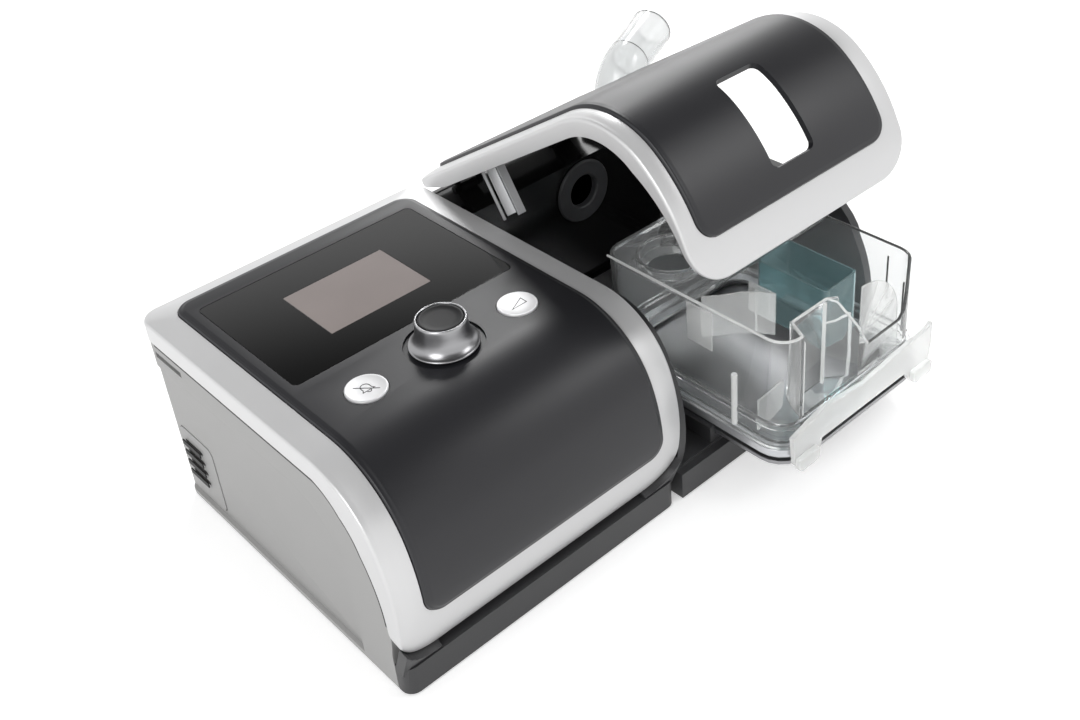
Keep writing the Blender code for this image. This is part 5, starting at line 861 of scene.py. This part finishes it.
def build_elbow():
    """Hollow elbow with dark lines at the two ends of its tube: painted shade where its clear rims show
    dark.
    """
    level = Vector((math.cos(ELBOW_AZIMUTH), math.sin(ELBOW_AZIMUTH), 0))
    aside = Vector((-level.y, level.x, 0))
    turn = math.pi / 2 - ELBOW_RISE
    cup = ELBOW_UPRIGHT[-1][1]
    stations = [(Vector((*ELBOW_FOOT, z)), 0.0, radius) for z, radius in ELBOW_UPRIGHT]
    start = stations[-1][0]
    for step in range(1, ELBOW_BEND_STEPS + 1):
        angle = turn * step / ELBOW_BEND_STEPS
        reach = ELBOW_BEND_RADIUS * ((1 - math.cos(angle)) * level + Vector((0, 0, math.sin(angle))))
        stations.append((start + reach, angle,
                         between(step, 0, ELBOW_BEND_STEPS, cup, ELBOW_TUBE_RADIUS)))
    ahead = level * math.sin(turn) + Vector((0, 0, math.cos(turn)))
    bend_end = stations[-1][0]
    mouth = bend_end + ahead * ELBOW_MOUTH_REACH
    stations.append((mouth, turn, ELBOW_TUBE_RADIUS))
    lining = [(stations[0][0], 0.0, ELBOW_UPRIGHT[0][1]), (stations[3][0], 0.0, ELBOW_UPRIGHT[0][1])]
    lining += stations[len(ELBOW_UPRIGHT) - 1:]

    def circle(place, angle, radius):
        up = Vector((0, 0, 1)) * math.sin(angle) - level * math.cos(angle)
        return [tuple(place + radius * (math.cos(math.tau * step / ROUND_STEPS) * aside
                                        + math.sin(math.tau * step / ROUND_STEPS) * up))
                for step in range(ROUND_STEPS)]

    loops = [circle(*station) for station in stations]
    loops += [circle(place, angle, radius - ELBOW_WALL) for place, angle, radius in lining[::-1]]
    piece_for("outlet_elbow_fine", loops, "ring", "outlet_elbow", 0.0003, look=HAZY)
    # Thin dark rings at the mouth and where the tube starts: painted shade of the clear rims.
    for name, place in (("mouth_line", mouth - ahead * ELBOW_RING_BACK), ("tube_line", bend_end)):
        spine = circle(place, turn, ELBOW_TUBE_RADIUS - ELBOW_RING_INSET)
        up = Vector((0, 0, 1)) * math.sin(turn) - level * math.cos(turn)
        loops = []
        for step in range(ROUND_STEPS):
            angle = math.tau * step / ROUND_STEPS
            outward = math.cos(angle) * aside + math.sin(angle) * up
            loops.append([tuple(Vector(spine[step]) + ELBOW_RING_RADIUS
                                * (math.cos(math.tau * part / 8) * outward
                                   + math.sin(math.tau * part / 8) * ahead)) for part in range(8)])
        piece_for(name, loops, "ring", "outlet_elbow", 0.0, False, look=PAINTED_SHADE_CLEAR)


def build_stay():
    """Folded stay below the lid: a fixing strip, a plate, a slanted blade and a thin edge."""
    piece_for("stay_plate", upright_loops(((0.1893, 0.0760), (0.1945, 0.0760), (0.1945, 0.1150),
                                           (0.1893, 0.1150)), 0.1400, 0.1412), "flat", "lid_stay",
              0.0003)
    for name, outline, low, high in (
            ("stay_blade", ((0.1844, 0.1430), (0.1866, 0.1424), (0.1888, 0.1404)), 0.0780, 0.1150),
            ("stay_edge", ((0.1836, 0.1470), (0.1842, 0.1455)), 0.0765, 0.1150)):
        piece_for(name, strip_loops(outline, 0.0009, low, high), "flat", "lid_stay", 0.0002, False)
    piece_for("stay_fixing", block((0.1835, 0.1400, 0.1136), (0.1945, 0.1475, 0.1151)), "flat",
              "lid_stay", 0.0003, False)


# Dark lines of the side casing: painted shadow in its seam and in the filter cover's slots

SEAM_LEFT = 0.0003
SEAM_RIGHT = 0.0020
SEAM_HEIGHT = 0.0016
SEAM_START = 0.0120
SEAM_END = PROFILE_LENGTH - 0.0240
SEAM_STEPS = 80
VENT_LEFT = 0.0014
VENT_RIGHT = 0.0020
VENT_FRONT = 0.1698
VENT_BACK = 0.1872
VENT_FIRST_Z = 0.0173
VENT_HEIGHT = 0.0030
VENT_PITCH = 0.0066
VENT_COUNT = 4


def build_casing_lines():
    """Black strips that paint the shadow in the seam below the left band and inside the filter cover's
    slots.
    """
    loops = []
    for step in range(SEAM_STEPS + 1):
        arc = SEAM_START + (SEAM_END - SEAM_START) * step / SEAM_STEPS
        top = bezel_depth(arc)
        loops.append([bent(x, arc, drop) for x, drop in
                      ((SEAM_LEFT, top), (SEAM_RIGHT, top), (SEAM_RIGHT, top + SEAM_HEIGHT),
                       (SEAM_LEFT, top + SEAM_HEIGHT))])
    vertices, faces = skin(loops, "flat")
    make_piece("seam_painted_shadow", vertices, faces, SHADOW, "main")
    # Black plates in the slots: painted shadow.
    for spot in range(VENT_COUNT):
        low = VENT_FIRST_Z + VENT_PITCH * spot
        vertices, faces = skin(block((VENT_LEFT, VENT_FRONT, low),
                                     (VENT_RIGHT, VENT_BACK, low + VENT_HEIGHT)), "flat")
        make_piece(f"vent_painted_shadow_{spot + 1}", vertices, faces, SHADOW, "filter_door")


def build_fine_copies():
    softness = {
        "side_casing": 0.0004, "bottom_tray": 0.0006, "filter_cover": 0.0003,
        "humidifier_base": 0.0005, "rear_housing": 0.0004,
        "chamber_clamp": 0.0006, "chamber_base_plate": 0.0003, "heater_plate": 0.0004,
        "power_inlet": 0.0003, "humidifier_floor": 0.0003, "memory_card": 0.0002,
        "chamber_cover": 0.0004, "chamber_duct": 0.0002, "inlet_gasket": 0.0003,
    }
    softness.update({node: 0.0004 for node in BODY_OF if "_foot_" in node})
    for node, bevel in softness.items():
        slot = SLOT_OF[node]
        refined(node, LOOKS[slot], BODY_OF[node], bevel)


def dress_packed_parts():
    for name, node in frame["nodes"].items():
        for spot in range(max(len(node.material_slots), 1)):
            if node.material_slots:
                node.material_slots[spot].material = LOOKS[SLOT_OF[name]]
            else:
                node.data.materials.append(LOOKS[SLOT_OF[name]])


# Camera, floor and light

FOCAL_LENGTH = 44.14
SENSOR_WIDTH = 36.0
CAMERA_PLACE = (-0.35676, -0.42808, 0.4722)
CAMERA_RIGHT = (0.731, -0.680, -0.067)
CAMERA_AHEAD = (0.544, 0.639, -0.544)
CAMERA_SHIFT = (-0.0394, -0.0970)
FLOOR_HALF = 6.0
FLOOR_GLOW = 0.40
SKY_LEVEL = 0.55
CEILING_START = 0.50
CEILING_END = 0.60
CEILING_LEVEL = 0.08
LAMPS = (("back", (1.40, 1.65, 0.76), (0, 0, 0.1), 1.0, 7),
         ("top", (0.945, 1.128, 1.50), (0, 0, 0.1), 0.42, 10),
         ("front_right", (1.09, -1.09, 1.28), (0, 0, 0.1), 0.7, 6),
         ("left", (-1.6, -0.6, 1.2), (0, 0, 0.1), 1.2, 16))


def build_camera():
    lens = bpy.data.cameras.new("camera")
    lens.lens = FOCAL_LENGTH
    lens.sensor_width = SENSOR_WIDTH
    lens.shift_x, lens.shift_y = CAMERA_SHIFT
    lens.clip_start = 0.01
    camera = bpy.data.objects.new("camera", lens)
    ahead = Vector(CAMERA_AHEAD).normalized()
    right = Vector(CAMERA_RIGHT)
    right = (right - right.dot(ahead) * ahead).normalized()
    up = right.cross(ahead)
    turn = Matrix((right, up, -ahead)).transposed().to_4x4()
    camera.matrix_world = Matrix.Translation(CAMERA_PLACE) @ turn
    bpy.context.scene.collection.objects.link(camera)
    bpy.context.scene.camera = camera


def build_floor():
    look, nodes, links = new_look("floor")
    shader = nodes["Principled BSDF"]
    shader.inputs["Base Color"].default_value = (0.86, 0.86, 0.86, 1)
    shader.inputs["Roughness"].default_value = 0.9
    shader.inputs["Specular IOR Level"].default_value = 0.1
    glow = nodes.new("ShaderNodeEmission")
    path = nodes.new("ShaderNodeLightPath")
    seen = nodes.new("ShaderNodeMath")
    seen.operation = 'MAXIMUM'
    both = nodes.new("ShaderNodeMath")
    both.operation = 'MAXIMUM'
    links.new(path.outputs["Is Camera Ray"], seen.inputs[0])
    links.new(path.outputs["Is Glossy Ray"], seen.inputs[1])
    links.new(seen.outputs[0], both.inputs[0])
    links.new(path.outputs["Is Transmission Ray"], both.inputs[1])
    shown = nodes.new("ShaderNodeMath")
    shown.operation = 'MULTIPLY'
    shown.inputs[1].default_value = FLOOR_GLOW
    links.new(both.outputs[0], shown.inputs[0])
    links.new(shown.outputs[0], glow.inputs["Strength"])
    added = nodes.new("ShaderNodeAddShader")
    links.new(shader.outputs["BSDF"], added.inputs[0])
    links.new(glow.outputs["Emission"], added.inputs[1])
    links.new(added.outputs["Shader"], nodes["Material Output"].inputs["Surface"])
    mesh = bpy.data.meshes.new("floor")
    corners = [(x * FLOOR_HALF, y * FLOOR_HALF, 0) for x, y in ((-1, -1), (1, -1), (1, 1), (-1, 1))]
    mesh.from_pydata(corners, [], [(0, 1, 2, 3)])
    mesh.materials.append(look)
    floor = bpy.data.objects.new("floor", mesh)
    bpy.context.scene.collection.objects.link(floor)


def build_world():
    world = bpy.data.worlds.new("studio")
    bpy.context.scene.world = world
    world.use_nodes = True
    nodes, links = world.node_tree.nodes, world.node_tree.links
    background = nodes["Background"]
    background.inputs["Color"].default_value = (1, 1, 1, 1)
    path = nodes.new("ShaderNodeLightPath")
    second = nodes.new("ShaderNodeMath")
    second.operation = 'MAXIMUM'
    links.new(path.outputs["Is Glossy Ray"], second.inputs[0])
    links.new(path.outputs["Is Transmission Ray"], second.inputs[1])
    towards = nodes.new("ShaderNodeTexCoord")
    parts = nodes.new("ShaderNodeSeparateXYZ")
    links.new(towards.outputs["Generated"], parts.inputs["Vector"])
    mirrored = nodes.new("ShaderNodeMapRange")
    mirrored.interpolation_type = 'SMOOTHSTEP'
    mirrored.inputs["From Min"].default_value = CEILING_START
    mirrored.inputs["From Max"].default_value = CEILING_END
    mirrored.inputs["To Min"].default_value = 1.0
    mirrored.inputs["To Max"].default_value = CEILING_LEVEL
    links.new(parts.outputs["Z"], mirrored.inputs["Value"])
    level = nodes.new("ShaderNodeMapRange")
    level.inputs["To Min"].default_value = SKY_LEVEL
    links.new(mirrored.outputs["Result"], level.inputs["To Max"])
    links.new(second.outputs[0], level.inputs["Value"])
    shown = nodes.new("ShaderNodeMapRange")
    shown.inputs["To Max"].default_value = 1.0
    links.new(level.outputs["Result"], shown.inputs["To Min"])
    links.new(path.outputs["Is Camera Ray"], shown.inputs["Value"])
    links.new(shown.outputs["Result"], background.inputs["Strength"])


def build_lamp(name, place, aim, size, power):
    lamp = bpy.data.lights.new(name, 'AREA')
    lamp.shape = 'DISK'
    lamp.size = size
    lamp.energy = power
    item = bpy.data.objects.new(name, lamp)
    item.location = place
    item.rotation_euler = (Vector(aim) - Vector(place)).to_track_quat('-Z', 'Y').to_euler()
    bpy.context.scene.collection.objects.link(item)


def build_stage():
    build_camera()
    build_floor()
    build_world()
    for lamp in LAMPS:
        build_lamp(*lamp)
    bpy.context.scene.view_settings.view_transform = 'Standard'


build_stage()
dress_packed_parts()
build_main_shell()
build_display()
build_knob()
build_buttons()
build_lid()
build_stay()
build_chamber_details()
build_elbow()
build_casing_lines()
build_fine_copies()
